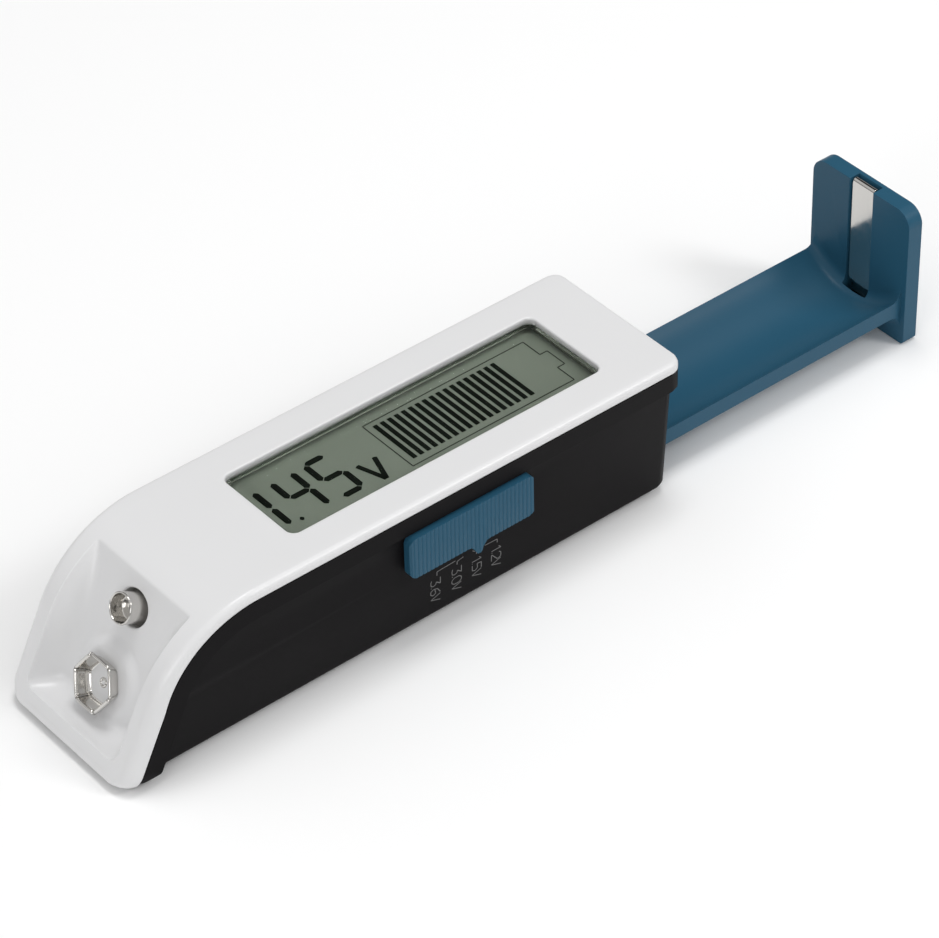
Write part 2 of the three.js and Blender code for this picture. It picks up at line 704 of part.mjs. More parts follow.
function selectorKnob() {
  let knob = solid(alongY(knobOutline(), KNOB_FRONT_Y - 1, KNOB_BACK_Y, 6));
  knob = knob.intersect(solid(alongZ(ribbedPlan(), 0, CASE_HEIGHT)));
  const stem = block(
    POINTER_X - STEM_HALF_LENGTH, POINTER_X + STEM_HALF_LENGTH, KNOB_BACK_Y - 0.5, STEM_END_Y,
    LEVER_Z - STEM_HALF_HEIGHT, LEVER_Z + STEM_HALF_HEIGHT,
  );
  const leverPocket = block(
    POINTER_X - LEVER_HALF_LENGTH - 0.1, POINTER_X + LEVER_HALF_LENGTH + 0.1,
    LEVER_OUTER_Y - CLEARANCE, STEM_END_Y + 1,
    LEVER_Z - LEVER_HALF_HEIGHT - 0.1, LEVER_Z + LEVER_HALF_HEIGHT + 0.1,
  );
  return knob.add(solid(stem)).subtract(solid(leverPocket));
}

function switchLever() {
  return solid(block(
    POINTER_X - LEVER_HALF_LENGTH, POINTER_X + LEVER_HALF_LENGTH, LEVER_OUTER_Y, LEVER_INNER_Y,
    LEVER_Z - LEVER_HALF_HEIGHT, LEVER_Z + LEVER_HALF_HEIGHT,
  ));
}

const SWITCH_FRONT_Y = -12.1;
const SWITCH_BACK_Y = -7.7;
const SWITCH_BOTTOM_Z = 10.9;

function switchBody() {
  const top = BOARD_BOTTOM - 0.1;
  let body = solid(block(4, 18.4, SWITCH_FRONT_Y, SWITCH_BACK_Y, SWITCH_BOTTOM_Z, top));
  const leverSlot = block(
    POINTER_X - LEVER_HALF_LENGTH - SELECTOR_BACK_TRAVEL - CLEARANCE,
    POINTER_X + LEVER_HALF_LENGTH + SELECTOR_FORWARD_TRAVEL + CLEARANCE,
    SWITCH_FRONT_Y - 1, LEVER_INNER_Y + CLEARANCE,
    LEVER_Z - LEVER_HALF_HEIGHT - 0.2, LEVER_Z + LEVER_HALF_HEIGHT + 0.2,
  );
  body = body.subtract(solid(leverSlot));
  for (const x of [2.9, 18.3]) {
    body = body.add(solid(block(x, x + 1.2, -11, -8.8, BOARD_BOTTOM - 2.4, top)));
  }
  return body;
}

// ---------------------------------------------------------------------------------------------------------
// Base shell
// ---------------------------------------------------------------------------------------------------------

// The part of the side view that lies deeper than a band of the given height under the cover.
function belowBand(extra) {
  const points = [];
  profileStations([-1, 70], 14).forEach((station) => {
    const depth = skirtDepth(station) + SEAM + BAND_HEIGHT + extra;
    points.push(station.at.clone().addScaledVector(station.inward, depth));
  });
  points.push(new THREE.Vector2(HALF_LENGTH + 1, -6));
  return new THREE.Shape(points);
}

// Lower body: rounded rectangles that widen a little with height, rolled in at the underside.
function lowerBody() {
  const heights = [0, 0.08, 0.3, BODY_BOTTOM_RADIUS, CASE_HEIGHT - 4];
  const sections = heights.map((height) => {
    const inset = THREE.MathUtils.lerp(BODY_INSET_BOTTOM, BODY_INSET_TOP, height / (CASE_HEIGHT - 6));
    const rolled = inset + roundOff(BODY_BOTTOM_RADIUS, height);
    const shape = roundedRectangle(
      -HALF_LENGTH + rolled, HALF_LENGTH - rolled, -HALF_WIDTH + rolled, HALF_WIDTH - rolled,
      BODY_CORNER_RADIUS,
    );
    return shape.getPoints(8).slice(0, -1);
  });
  return loft(sections, (i, point) => new THREE.Vector3(point.x, point.y, heights[i]));
}

const CONTACT_HALF_WIDTH = 3.5;
const CONTACT_LOW_Z = 8;
const CONTACT_HIGH_Z = 20.4;

// Negative contact: a leaf that comes out through the end wall, bows towards the tray and goes back in.
function negativeContact() {
  const inside = END_WALL_INNER_X - 2.2;
  const path = new THREE.CurvePath();
  const start = new THREE.Vector2(inside, CONTACT_HIGH_Z);
  const high = new THREE.Vector2(HALF_LENGTH - 2.2, CONTACT_HIGH_Z);
  const low = new THREE.Vector2(HALF_LENGTH - 2.2, CONTACT_LOW_Z);
  const bow = HALF_LENGTH - 0.4;
  path.add(new THREE.LineCurve(start, high));
  path.add(new THREE.CubicBezierCurve(
    high,
    new THREE.Vector2(bow, CONTACT_HIGH_Z),
    new THREE.Vector2(bow + 0.4, CONTACT_LOW_Z + 0.6),
    low,
  ));
  path.add(new THREE.LineCurve(low, new THREE.Vector2(inside, CONTACT_LOW_Z)));
  return solid(bentStrip(path, 14, STRIP_THICKNESS, 2 * CONTACT_HALF_WIDTH));
}

function baseShell() {
  const stations = profileStations([...END_ROUNDING_STEPS, 20, 45, 70], 14);
  const band = loft(
    stations.map((station) => {
      const side = HALF_WIDTH - sideRounding(station);
      const shallow = skirtDepth(station) + SEAM;
      const deep = shallow + BAND_HEIGHT;
      return [
        new THREE.Vector2(-side, shallow), new THREE.Vector2(side, shallow),
        new THREE.Vector2(side, deep), new THREE.Vector2(-side, deep),
      ];
    }),
    (i, point) => inPlace(stations[i], point),
  );
  const body = solid(lowerBody()).intersect(solid(alongY(belowBand(-0.5), -20, 20)));
  let shell = solid(band).add(body);

  // Room inside, open at the top and towards the nose
  const room = solid(block(
    -70, END_WALL_INNER_X, -CAVITY_HALF_WIDTH, CAVITY_HALF_WIDTH, FLOOR, CASE_HEIGHT + 1,
  ));
  shell = shell.subtract(room);

  // Rails that guide the tray's edges and hold them down
  for (const side of [-1, 1]) {
    const near = side * 8.8;
    const far = side * (CAVITY_HALF_WIDTH + 0.5);
    const rail = block(-24, END_WALL_INNER_X + 0.5, Math.min(near, far), Math.max(near, far), 1, 9);
    shell = shell.add(solid(rail));
  }

  // Channel of the tray and its stop lugs, and the mouth in the end wall
  const channel = alongX(new THREE.Shape(cradleSection(CLEARANCE)), -27.5, HALF_LENGTH + 2);
  shell = shell.subtract(solid(channel));
  const lugRun = block(
    -24.5, END_WALL_INNER_X, -TRAY_HALF_WIDTH - STOP_LUG_OUT - CLEARANCE,
    TRAY_HALF_WIDTH + STOP_LUG_OUT + CLEARANCE, STOP_LUG_LOW - CLEARANCE, STOP_LUG_HIGH + CLEARANCE,
  );
  shell = shell.subtract(solid(lugRun));
  const stripRun = block(
    -29, HALF_LENGTH + 2, -STRIP_WIDTH / 2 - CLEARANCE, STRIP_WIDTH / 2 + CLEARANCE, 0.75, 4,
  );
  shell = shell.subtract(solid(stripRun));

  // Seat and two slots for the negative contact
  const seatHalf = CONTACT_HALF_WIDTH + CLEARANCE;
  for (const z of [CONTACT_LOW_Z, CONTACT_HIGH_Z]) {
    shell = shell.subtract(solid(block(
      END_WALL_INNER_X - 1, HALF_LENGTH + 1, -seatHalf, seatHalf, z - 0.55, z + 0.55,
    )));
  }
  shell = shell.subtract(solid(block(
    HALF_LENGTH - 2.7, HALF_LENGTH + 1, -seatHalf, seatHalf, CONTACT_LOW_Z, CONTACT_HIGH_Z,
  )));

  // Slot for the selector's stem
  shell = shell.subtract(solid(block(
    POINTER_X - STEM_HALF_LENGTH - SELECTOR_BACK_TRAVEL - 0.4,
    POINTER_X + STEM_HALF_LENGTH + SELECTOR_FORWARD_TRAVEL + 0.4,
    -HALF_WIDTH - 1, -CAVITY_HALF_WIDTH + 1,
    LEVER_Z - STEM_HALF_HEIGHT - CLEARANCE, LEVER_Z + STEM_HALF_HEIGHT + CLEARANCE,
  )));

  // Screw bosses with a sunk seat for each head
  for (const side of [-1, 1]) {
    const boss = atScrew(roundBar(BOSS_RADIUS, 1, BOSS_JOINT_Z), side);
    const shank = atScrew(roundBar(SCREW_RADIUS + CLEARANCE, -1, BOSS_JOINT_Z + 1, 16), side);
    const head = atScrew(roundBar(SCREW_HEAD_RADIUS + CLEARANCE, -1, SCREW_HEAD_TOP + CLEARANCE, 20), side);
    shell = shell.add(solid(boss)).subtract(solid(shank)).subtract(solid(head));
  }

  // Room for the pocket's back, and the flat underside
  shell = shell.subtract(solid(pocketForm(POCKET_WALL + CLEARANCE, -0.6)));
  return shell.intersect(aboveGround());
}

// ---------------------------------------------------------------------------------------------------------
// Display stack and circuit board
// ---------------------------------------------------------------------------------------------------------

function displayWindow() {
  const raised = solid(displayOpening(-0.15, CASE_HEIGHT - COVER_WALL - 0.5, WINDOW_TOP));
  const flange = solid(displayOpening(1.3, CASE_HEIGHT - COVER_WALL - 1.1, CASE_HEIGHT - COVER_WALL - 0.1));
  return raised.add(flange);
}

const LCD_TOP = CASE_HEIGHT - COVER_WALL - 1.3;
const LCD_THICKNESS = 2.2;

const LCD_HALF_LENGTH = 30.2;
const LCD_LEDGE_Z = LCD_TOP - 1.15;

// Two panes of glass. The upper one is wider, and its ledges carry the contacts.
function lcdPanel() {
  const x0 = DISPLAY_CENTRE_X - LCD_HALF_LENGTH;
  const x1 = DISPLAY_CENTRE_X + LCD_HALF_LENGTH;
  const lower = block(x0, x1, -7, 7, LCD_TOP - LCD_THICKNESS, LCD_LEDGE_Z + 0.05);
  const upper = block(x0, x1, -9.2, 9.2, LCD_LEDGE_Z, LCD_TOP);
  return solid(lower).add(solid(upper));
}

function lcdFrame() {
  const x0 = DISPLAY_CENTRE_X - LCD_HALF_LENGTH - 2;
  const x1 = DISPLAY_CENTRE_X + LCD_HALF_LENGTH + 2;
  const shape = roundedRectangle(x0, x1, -10.8, 10.8, 0.6);
  shape.holes.push(roundedRectangle(x0 + 1.6, x1 - 1.6, -9.5, 9.5, 0.3));
  return solid(alongZ(shape, BOARD_TOP + 0.1, LCD_TOP - 0.1, 3));
}

function connectorStrip(side) {
  const y = side * 8.2;
  return solid(block(
    DISPLAY_CENTRE_X - 28, DISPLAY_CENTRE_X + 28, y - 0.9, y + 0.9, BOARD_TOP + 0.1, LCD_LEDGE_Z - 0.1,
  ));
}

function circuitBoard() {
  const shape = roundedRectangle(-24, 49.6, -11.9, 11.9, 1);
  for (const y of [-10, 10]) {
    for (const x of [-21.3, 47.4]) {
      const hole = new THREE.Path();
      hole.absarc(x, y, 0.8, 0, Math.PI * 2, true);
      shape.holes.push(hole);
    }
  }
  return solid(alongZ(shape, BOARD_BOTTOM, BOARD_TOP, 4));
}

// Controller: a small-outline package with a row of gull-wing legs on each long side.
function controllerChip() {
  const x0 = 26;
  const x1 = 37.4;
  const legs = 9;
  const top = BOARD_BOTTOM - 0.15;
  let chip = solid(block(x0, x1, 4.6, 9.2, top - 2, top - 0.2));
  for (let i = 0; i < legs; i += 1) {
    const x = x0 + 0.8 + (i * (x1 - x0 - 1.6)) / (legs - 1);
    chip = chip.add(solid(block(x - 0.2, x + 0.2, 3.6, 10.2, top - 1.1, top - 0.8)));
    for (const y of [3.6, 10.2]) {
      chip = chip.add(solid(block(x - 0.2, x + 0.2, y - 0.4, y + 0.1, top - 1.1, top)));
    }
  }
  return chip;
}

// Load resistor: a dog-bone body with a lead at each end that turns up into the board.
function loadResistor(x) {
  const half = 3.2;
  const y = 6.6;
  const z = 13.2;
  const body = new THREE.LatheGeometry([
    [0, -half], [0.9, -half], [1.25, -half + 0.4], [1.25, -half + 1.3], [1.05, -half + 1.7],
    [1.05, half - 1.7], [1.25, half - 1.3], [1.25, half - 0.4], [0.9, half], [0, half],
  ].map(([radius, height]) => new THREE.Vector2(radius, height)), 16);
  const leads = new THREE.CatmullRomCurve3([
    new THREE.Vector3(x, y - half - 1.4, BOARD_BOTTOM - 0.2),
    new THREE.Vector3(x, y - half - 1.3, z + 0.8),
    new THREE.Vector3(x, y - half - 0.4, z),
    new THREE.Vector3(x, y, z),
    new THREE.Vector3(x, y + half + 0.4, z),
    new THREE.Vector3(x, y + half + 1.3, z + 0.8),
    new THREE.Vector3(x, y + half + 1.4, BOARD_BOTTOM - 0.2),
  ], false, 'catmullrom', 0.3);
  return solid(body.translate(x, y, z)).add(solid(roundWire(leads, 0.3, 30)));
}

// A round wire along a curve.
function roundWire(curve, radius, steps) {
  const ring = new THREE.Shape();
  ring.absarc(0, 0, radius, 0, Math.PI * 2, false);
  return new THREE.ExtrudeGeometry(ring, {
    steps, extrudePath: curve, bevelEnabled: false, curveSegments: 4,
  });
}

// The rail that the tray's bow wipes along: a strip on two legs under the board.
const RAIL_Z = BOW_TOP_Z + STRIP_THICKNESS + CLEARANCE;

function contactRail() {
  const path = bentPath([
    [-22.5, BOARD_BOTTOM - 0.1],
    [-22.5, RAIL_Z],
    [48.4, RAIL_Z],
    [48.4, BOARD_BOTTOM - 0.1],
  ], 1);
  return solid(bentStrip(path, 5, STRIP_THICKNESS, 4));
}

// ---------------------------------------------------------------------------------------------------------
// 9 V terminals on their board behind the pocket floor
// ---------------------------------------------------------------------------------------------------------

const SNAP_BOARD_TOP = -POCKET_WALL - CLEARANCE;
const SNAP_BOARD_THICKNESS = 1.2;

function snapBoard() {
  const shape = roundedRectangle(-8.6, 8.6, -10.4, 9.6, 0.8);
  for (const [v, radius] of [[SNAP_SPACING / 2, 1.4], [-SNAP_SPACING / 2, 1.4]]) {
    const hole = new THREE.Path();
    hole.absarc(0, v, radius, 0, Math.PI * 2, true);
    shape.holes.push(hole);
  }
  const plate = alongZ(shape, SNAP_BOARD_TOP - SNAP_BOARD_THICKNESS, SNAP_BOARD_TOP, 5);
  // The shape's long direction is turned to run up the slope
  plate.rotateZ(-Math.PI / 2);
  return solid(onPocketFloor(plate, SNAP_MIDDLE));
}

// Stud: a drawn cup with a rolled rim, a flange on the board and a hollow shank riveted through it.
function snapStud() {
  const flange = SNAP_BOARD_TOP + 0.1;
  const underside = SNAP_BOARD_TOP - SNAP_BOARD_THICKNESS - 0.6;
  const profile = [
    [0, underside], [1.1, underside], [1.1, flange], [2.9, flange], [2.9, flange + 0.35],
    [2.45, flange + 0.5], [2.4, 1.3], [2.62, 1.8], [2.62, 2.3], [2.45, 2.6], [2.2, 2.62],
    [2.05, 2.35], [2.05, 0.6], [0.9, 0.6], [0.75, 1.0], [0, 1.1],
  ];
  return solid(onPocketFloor(turned(profile, 28), STUD_UP));
}

// Socket: six petals stand round a hexagon and lean out a little, over a flange riveted to the board. Two of
// the hexagon's corners point up and down the slope.
function snapSocket() {
  const flange = SNAP_BOARD_TOP + 0.1;
  const underside = SNAP_BOARD_TOP - SNAP_BOARD_THICKNESS - 0.6;
  const rim = 3.1;
  const hexagonCup = turned([
    [0, flange], [4.1, flange], [4.15, 1.2], [4.45, rim - 0.4], [4.35, rim], [3.85, rim - 0.1],
    [3.7, 1.2], [3.65, flange + 0.6], [0, flange + 0.6],
  ], 6);
  let socket = solid(hexagonCup);
  const slit = 0.35;
  for (let i = 0; i < 3; i += 1) {
    const cut = block(-6, 6, -slit / 2, slit / 2, flange + 1.3, rim + 1);
    cut.rotateZ((i * Math.PI) / 3 + Math.PI / 2);
    socket = socket.subtract(solid(cut));
  }
  const rivet = turned([
    [0, underside], [1.1, underside], [1.1, flange + 0.3], [1.3, flange + 0.6],
    [1.1, flange + 1], [0.5, flange + 1.15], [0, flange + 1],
  ], 20);
  socket = socket.add(solid(rivet));
  const foot = slopeStation(SOCKET_UP);
  const spot = foot.at.addScaledVector(foot.inward, POCKET_DEPTH);
  const geometry = skin(socket)
    .rotateZ(Math.PI / 6)
    .applyMatrix4(new THREE.Matrix4().makeRotationY(-NOSE_ANGLE))
    .applyMatrix4(new THREE.Matrix4().makeTranslation(spot.x, 0, spot.y));
  return solid(geometry);
}

// A lead from the back of the snap board to the front edge of the circuit board.
function lead(side) {
  const up = side > 0 ? STUD_UP : SOCKET_UP;
  const back = POCKET_DEPTH - SNAP_BOARD_TOP + SNAP_BOARD_THICKNESS + 0.3;
  const foot = slopeStation(up);
  const start = foot.at.clone().addScaledVector(foot.inward, back);
  const clear = start.clone().addScaledVector(foot.inward, 1.6);
  const y = side * 5.4;
  return new THREE.CatmullRomCurve3([
    new THREE.Vector3(start.x, y, start.y),
    new THREE.Vector3(clear.x, y, clear.y),
    new THREE.Vector3(-31, y, 14.4),
    new THREE.Vector3(-26, y, 14.2),
    new THREE.Vector3(-22.6, y, 14.4),
    new THREE.Vector3(-22.3, y, BOARD_BOTTOM - 0.5),
  ]);
}

// ---------------------------------------------------------------------------------------------------------
// Case screws
// ---------------------------------------------------------------------------------------------------------

function caseScrew(side) {
  const head = SCREW_HEAD_RADIUS;
  const low = 0.7;
  const profile = [
    [0, low], [head * 0.8, low], [head, low + 0.3], [head, SCREW_HEAD_TOP],
    [SCREW_RADIUS, SCREW_HEAD_TOP], [SCREW_RADIUS, SCREW_END_Z - 1], [0, SCREW_END_Z],
  ];
  const screw = solid(atScrew(turned(profile, 20), side));
  const cross = [[1.1, 0.25], [0.25, 1.1]].map(([a, b]) => atScrew(
    block(-a, a, -b, b, low - 0.5, low + 0.7), side,
  ));
  return cross.reduce((body, slot) => body.subtract(solid(slot)), screw);
}

// ---------------------------------------------------------------------------------------------------------
// Assembly
// ---------------------------------------------------------------------------------------------------------

const tester = new THREE.Group();

function place(name, body, material) {
  const mesh = new THREE.Mesh(skin(body), material);
  mesh.name = name;
  tester.add(mesh);
}

place('top_cover', topCover(), whitePlastic);
place('base_shell', baseShell(), blackPlastic);
place('display_window', displayWindow(), clearPlastic);
place('lcd_panel', lcdPanel(), displayGlass);
place('lcd_frame', lcdFrame(), framePlastic);
place('connector_strip_front', connectorStrip(-1), connectorRubber);
place('connector_strip_back', connectorStrip(1), connectorRubber);
place('circuit_board', circuitBoard(), boardLaminate);
place('controller_chip', controllerChip(), chipResin);
[-14, -9, -4].forEach((x, i) => {
  place(`load_resistor_${i + 1}`, loadResistor(x), resistorBody);
});
place('switch_body', switchBody(), chipResin);
place('switch_lever', switchLever(), framePlastic);
place('selector_knob', selectorKnob(), bluePlastic);
place('battery_tray', batteryTray(), bluePlastic);
place('positive_contact', solid(trayStrip(STRIP_THICKNESS, STRIP_WIDTH)), nickel);
place('negative_contact', negativeContact(), nickel);
place('contact_rail', contactRail(), nickel);
place('snap_board', snapBoard(), fibreBoard);
place('snap_stud', snapStud(), nickel);
place('snap_socket', snapSocket(), nickel);
place('lead_red', solid(roundWire(lead(1), 0.6, 30)), redSleeve);
place('lead_black', solid(roundWire(lead(-1), 0.6, 30)), blackSleeve);
place('case_screw_1', caseScrew(-1), zincSteel);
place('case_screw_2', caseScrew(1), zincSteel);

export default tester;
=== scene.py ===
# Battery tester: the looks of a white and black hand-held case with a display, a blue selector slide, a blue
# tray on one end and the two snap terminals of a 9 V block in its sloping nose. Shapes are worked out in
# millimetres in the CAD's own frame: +X runs from the nose to the tray, +Z is up, -Y is the selector's side.
import math

import bmesh
import bpy
import numpy as np
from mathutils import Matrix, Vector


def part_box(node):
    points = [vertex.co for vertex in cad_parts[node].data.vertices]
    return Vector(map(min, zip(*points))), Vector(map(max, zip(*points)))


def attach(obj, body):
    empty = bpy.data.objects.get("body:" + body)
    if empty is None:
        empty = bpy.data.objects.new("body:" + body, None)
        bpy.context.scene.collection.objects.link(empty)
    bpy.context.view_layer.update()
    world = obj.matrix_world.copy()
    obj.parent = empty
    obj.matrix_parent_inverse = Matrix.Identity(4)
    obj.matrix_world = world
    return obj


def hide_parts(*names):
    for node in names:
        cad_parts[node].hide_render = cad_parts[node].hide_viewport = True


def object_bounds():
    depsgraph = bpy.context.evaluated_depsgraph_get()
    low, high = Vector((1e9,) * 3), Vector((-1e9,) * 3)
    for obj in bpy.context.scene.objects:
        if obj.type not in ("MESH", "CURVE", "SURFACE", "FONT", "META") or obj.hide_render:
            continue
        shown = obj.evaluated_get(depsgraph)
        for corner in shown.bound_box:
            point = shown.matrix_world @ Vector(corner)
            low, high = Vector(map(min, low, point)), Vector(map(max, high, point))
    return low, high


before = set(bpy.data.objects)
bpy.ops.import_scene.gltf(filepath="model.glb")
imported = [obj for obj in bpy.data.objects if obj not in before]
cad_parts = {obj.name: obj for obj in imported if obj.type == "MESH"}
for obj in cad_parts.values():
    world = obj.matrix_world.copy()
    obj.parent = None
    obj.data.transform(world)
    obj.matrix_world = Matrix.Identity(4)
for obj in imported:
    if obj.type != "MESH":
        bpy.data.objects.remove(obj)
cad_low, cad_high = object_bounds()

scene = bpy.context.scene

# ---------------------------------------------------------------------------------------------------------
# Floor, light and camera
# A plain pale floor, a soft lamp above, and weaker ones from the right and from before the nose. The room
# darkens towards the ground, and a dark panel hangs in it where the display's face would mirror bright wall.
# The camera looks down on the nose from the selector's side.
# ---------------------------------------------------------------------------------------------------------
CAMERA_PLACE = (-0.28190, -0.38452, 0.41868)
CAMERA_TURN = (50.231, 1.165, -39.420)
CAMERA_LENS = 159.25
ROOM_STRENGTH = 0.66
GROUND_SHARE = 0.18
GROUND_HEIGHT = -0.05
WALL_HEIGHT = 0.5
DARK_PANEL = (0.445, 0.606, 0.66)
PANEL_SHARE = 0.05
PANEL_OUTER = 0.88
PANEL_INNER = 0.96
FLOOR_SIZE = 6.0
FLOOR_DROP = 0.0001

camera_data = bpy.data.cameras.new("camera")
camera_data.lens = CAMERA_LENS
camera_data.sensor_width = 36
camera_data.clip_start = 0.02
camera = bpy.data.objects.new("camera", camera_data)
camera.location = CAMERA_PLACE
camera.rotation_euler = [math.radians(angle) for angle in CAMERA_TURN]
scene.collection.objects.link(camera)
scene.camera = camera


def soft_lamp(name, place, aim, size, power):
    """A square area lamp of the given size and power at a place, facing a point."""
    data = bpy.data.lights.new(name, "AREA")
    data.size = size
    data.energy = power
    lamp = bpy.data.objects.new(name, data)
    lamp.location = place
    away = Vector(place) - Vector(aim)
    lamp.rotation_euler = away.to_track_quat("Z", "Y").to_euler()
    scene.collection.objects.link(lamp)


soft_lamp("lamp_above", (0.15, 0.05, 0.85), (0.0, 0.0, 0.0), 0.3, 2.5)
soft_lamp("lamp_right", (0.42, -0.5, 0.6), (0.0, 0.0, 0.01), 0.2, 1.6)
soft_lamp("lamp_nose", (-0.55, -0.33, 0.3), (-0.045, 0.0, 0.012), 0.25, 0.7)

world = bpy.data.worlds.new("pale_room")
world.use_nodes = True
world_nodes = world.node_tree.nodes
world_links = world.node_tree.links
world_nodes["Background"].inputs["Strength"].default_value = ROOM_STRENGTH
sky_place = world_nodes.new("ShaderNodeTexCoord")
sky_height = world_nodes.new("ShaderNodeSeparateXYZ")
world_links.new(sky_place.outputs["Generated"], sky_height.inputs["Vector"])
sky_rise = world_nodes.new("ShaderNodeMapRange")
sky_rise.interpolation_type = "SMOOTHSTEP"
sky_rise.inputs["From Min"].default_value = GROUND_HEIGHT
sky_rise.inputs["From Max"].default_value = WALL_HEIGHT
sky_rise.inputs["To Min"].default_value = GROUND_SHARE
sky_rise.inputs["To Max"].default_value = 1.0
world_links.new(sky_height.outputs["Z"], sky_rise.inputs["Value"])
panel_side = world_nodes.new("ShaderNodeVectorMath")
panel_side.operation = "DOT_PRODUCT"
panel_side.inputs[1].default_value = DARK_PANEL
world_links.new(sky_place.outputs["Generated"], panel_side.inputs[0])
panel_edge = world_nodes.new("ShaderNodeMapRange")
panel_edge.interpolation_type = "SMOOTHSTEP"
panel_edge.inputs["From Min"].default_value = PANEL_OUTER
panel_edge.inputs["From Max"].default_value = PANEL_INNER
panel_edge.inputs["To Min"].default_value = 1.0
panel_edge.inputs["To Max"].default_value = PANEL_SHARE
world_links.new(panel_side.outputs["Value"], panel_edge.inputs["Value"])
sky = world_nodes.new("ShaderNodeMath")
sky.operation = "MULTIPLY"
world_links.new(sky_rise.outputs["Result"], sky.inputs[0])
world_links.new(panel_edge.outputs["Result"], sky.inputs[1])
world_links.new(sky.outputs["Value"], world_nodes["Background"].inputs["Color"])
scene.world = world
scene.view_settings.view_transform = "Standard"

floor_material = bpy.data.materials.new("pale_floor")
floor_material.use_nodes = True
floor_shader = floor_material.node_tree.nodes["Principled BSDF"]
floor_shader.inputs["Base Color"].default_value = (0.95, 0.95, 0.95, 1)
floor_shader.inputs["Roughness"].default_value = 0.9
floor_mesh = bpy.data.meshes.new("floor")
floor_mesh.from_pydata(
    [
        (x * FLOOR_SIZE, y * FLOOR_SIZE, cad_low[2] - FLOOR_DROP)
        for x, y in ((-1, -1), (1, -1), (1, 1), (-1, 1))
    ],
    [], [(0, 1, 2, 3)],
)
floor_mesh.materials.append(floor_material)
floor = bpy.data.objects.new("floor", floor_mesh)
scene.collection.objects.link(floor)

# ---------------------------------------------------------------------------------------------------------
# Top cover
# One white ABS moulding with a satin, finely spark-grained face. It covers the top, turns down over the nose
# and holds the display window and the pocket for the 9 V block. Two screws from below pull it to the base.
# ---------------------------------------------------------------------------------------------------------
MILLIMETRE = 0.001
HALF_LENGTH = 54.0
HALF_WIDTH = 15.2
HEIGHT = 25.0
NOSE_ANGLE = math.radians(63.5)
NOSE_RADIUS = 22.0
TIP_RADIUS = 0.3
END_CORNER = 2.6
TOP_EDGE = 1.0
NOSE_EDGE = 2.4
FOOT_CORNER = 3.5
FOOT_EDGE = 1.1
SKIRT_TOP = 1.6
SKIRT_NOSE = 2.45
COVER_THICKNESS = 1.3

SLOPE_UP = np.array([math.cos(NOSE_ANGLE), math.sin(NOSE_ANGLE)])
SLOPE_IN = np.array([math.sin(NOSE_ANGLE), -math.cos(NOSE_ANGLE)])
ARC_TANGENT = NOSE_RADIUS * math.tan(NOSE_ANGLE / 2)
SLOPE_LENGTH = HEIGHT / math.sin(NOSE_ANGLE) - ARC_TANGENT
ARC_CENTRE = np.array([-HALF_LENGTH + HEIGHT / math.tan(NOSE_ANGLE) + ARC_TANGENT, HEIGHT - NOSE_RADIUS])
FLAT_LENGTH = HALF_LENGTH - ARC_CENTRE[0]
ARC_LENGTH = NOSE_RADIUS * NOSE_ANGLE
TIP_TURN = math.pi - NOSE_ANGLE
TIP_TANGENT = TIP_RADIUS * math.tan(TIP_TURN / 2)
TIP_START = FLAT_LENGTH + ARC_LENGTH + SLOPE_LENGTH - TIP_TANGENT
FOOT_START = TIP_START + TIP_RADIUS * TIP_TURN
NOSE_CORNER = FLAT_LENGTH + ARC_LENGTH + SLOPE_LENGTH


def side_profile(s):
    """Point and inward direction at a distance s along the case's side view, and how far down the nose it is.

    The path is a straight line along the top, an arc of NOSE_RADIUS, a straight slope, an arc of TIP_RADIUS
    and a straight line back along the underside. Inward is the path's normal, and the third result goes from
    0 on the top to 1 on the slope.
    """
    s = np.asarray(s, float)
    angle = np.clip((s - FLAT_LENGTH) / NOSE_RADIUS, 0, NOSE_ANGLE)
    inward = np.stack([np.sin(angle), -np.cos(angle)], -1)
    point = ARC_CENTRE - NOSE_RADIUS * inward
    point[..., 0] += np.clip(FLAT_LENGTH - s, 0, None)
    point -= SLOPE_UP * np.clip(np.minimum(s, TIP_START) - FLAT_LENGTH - ARC_LENGTH, 0, None)[..., None]
    turn = np.clip((s - TIP_START) / TIP_RADIUS, 0, TIP_TURN)
    tip_angle = turn + NOSE_ANGLE - math.pi / 2
    tip_inward = np.stack([np.cos(tip_angle), np.sin(tip_angle)], -1)
    tip_centre = np.array([-HALF_LENGTH + TIP_TANGENT, TIP_RADIUS])
    on_tip = tip_centre - TIP_RADIUS * tip_inward
    on_tip[..., 0] += np.clip(s - FOOT_START, 0, None)
    past = (s > TIP_START)[..., None]
    return np.where(past, on_tip, point), np.where(past, tip_inward, inward), angle / NOSE_ANGLE


def round_off(radius, distance):
    """How far an edge of this radius has drawn back at a distance from its end: r - sqrt(r^2 - (r - d)^2)."""
    rest = np.clip(radius - distance, 0, None)
    return radius - np.sqrt(radius**2 - rest**2)


def round_corners(u, v, half_u, half_v, radius, reach):
    """Bends a square grid round the corners of a rectangle, and gives each point's distance outside it.

    About each corner's centre, squares of the grid become circles: a point at (p, q) moves to (p, q) times
    max(p, q) / hypot(p, q), fully up to the radius and less and less over the reach beyond it. The distance
    is max(p, q) minus the radius, so it is 0 on the rounded outline and negative inside.
    """
    p = np.abs(u) - (half_u - radius)
    q = np.abs(v) - (half_v - radius)
    size = np.maximum(p, q)
    corner = (p > 0) & (q > 0)
    ratio = np.where(corner, size / np.maximum(np.hypot(p, q), 1e-9), 1)
    fade = np.clip((radius + reach - size) / reach, 0, 1)
    ratio = ratio ** (fade * fade * (3 - 2 * fade))
    bent_u = np.sign(u) * (half_u - radius + p * ratio)
    bent_v = np.sign(v) * (half_v - radius + q * ratio)
    return np.where(corner, bent_u, u), np.where(corner, bent_v, v), size - radius


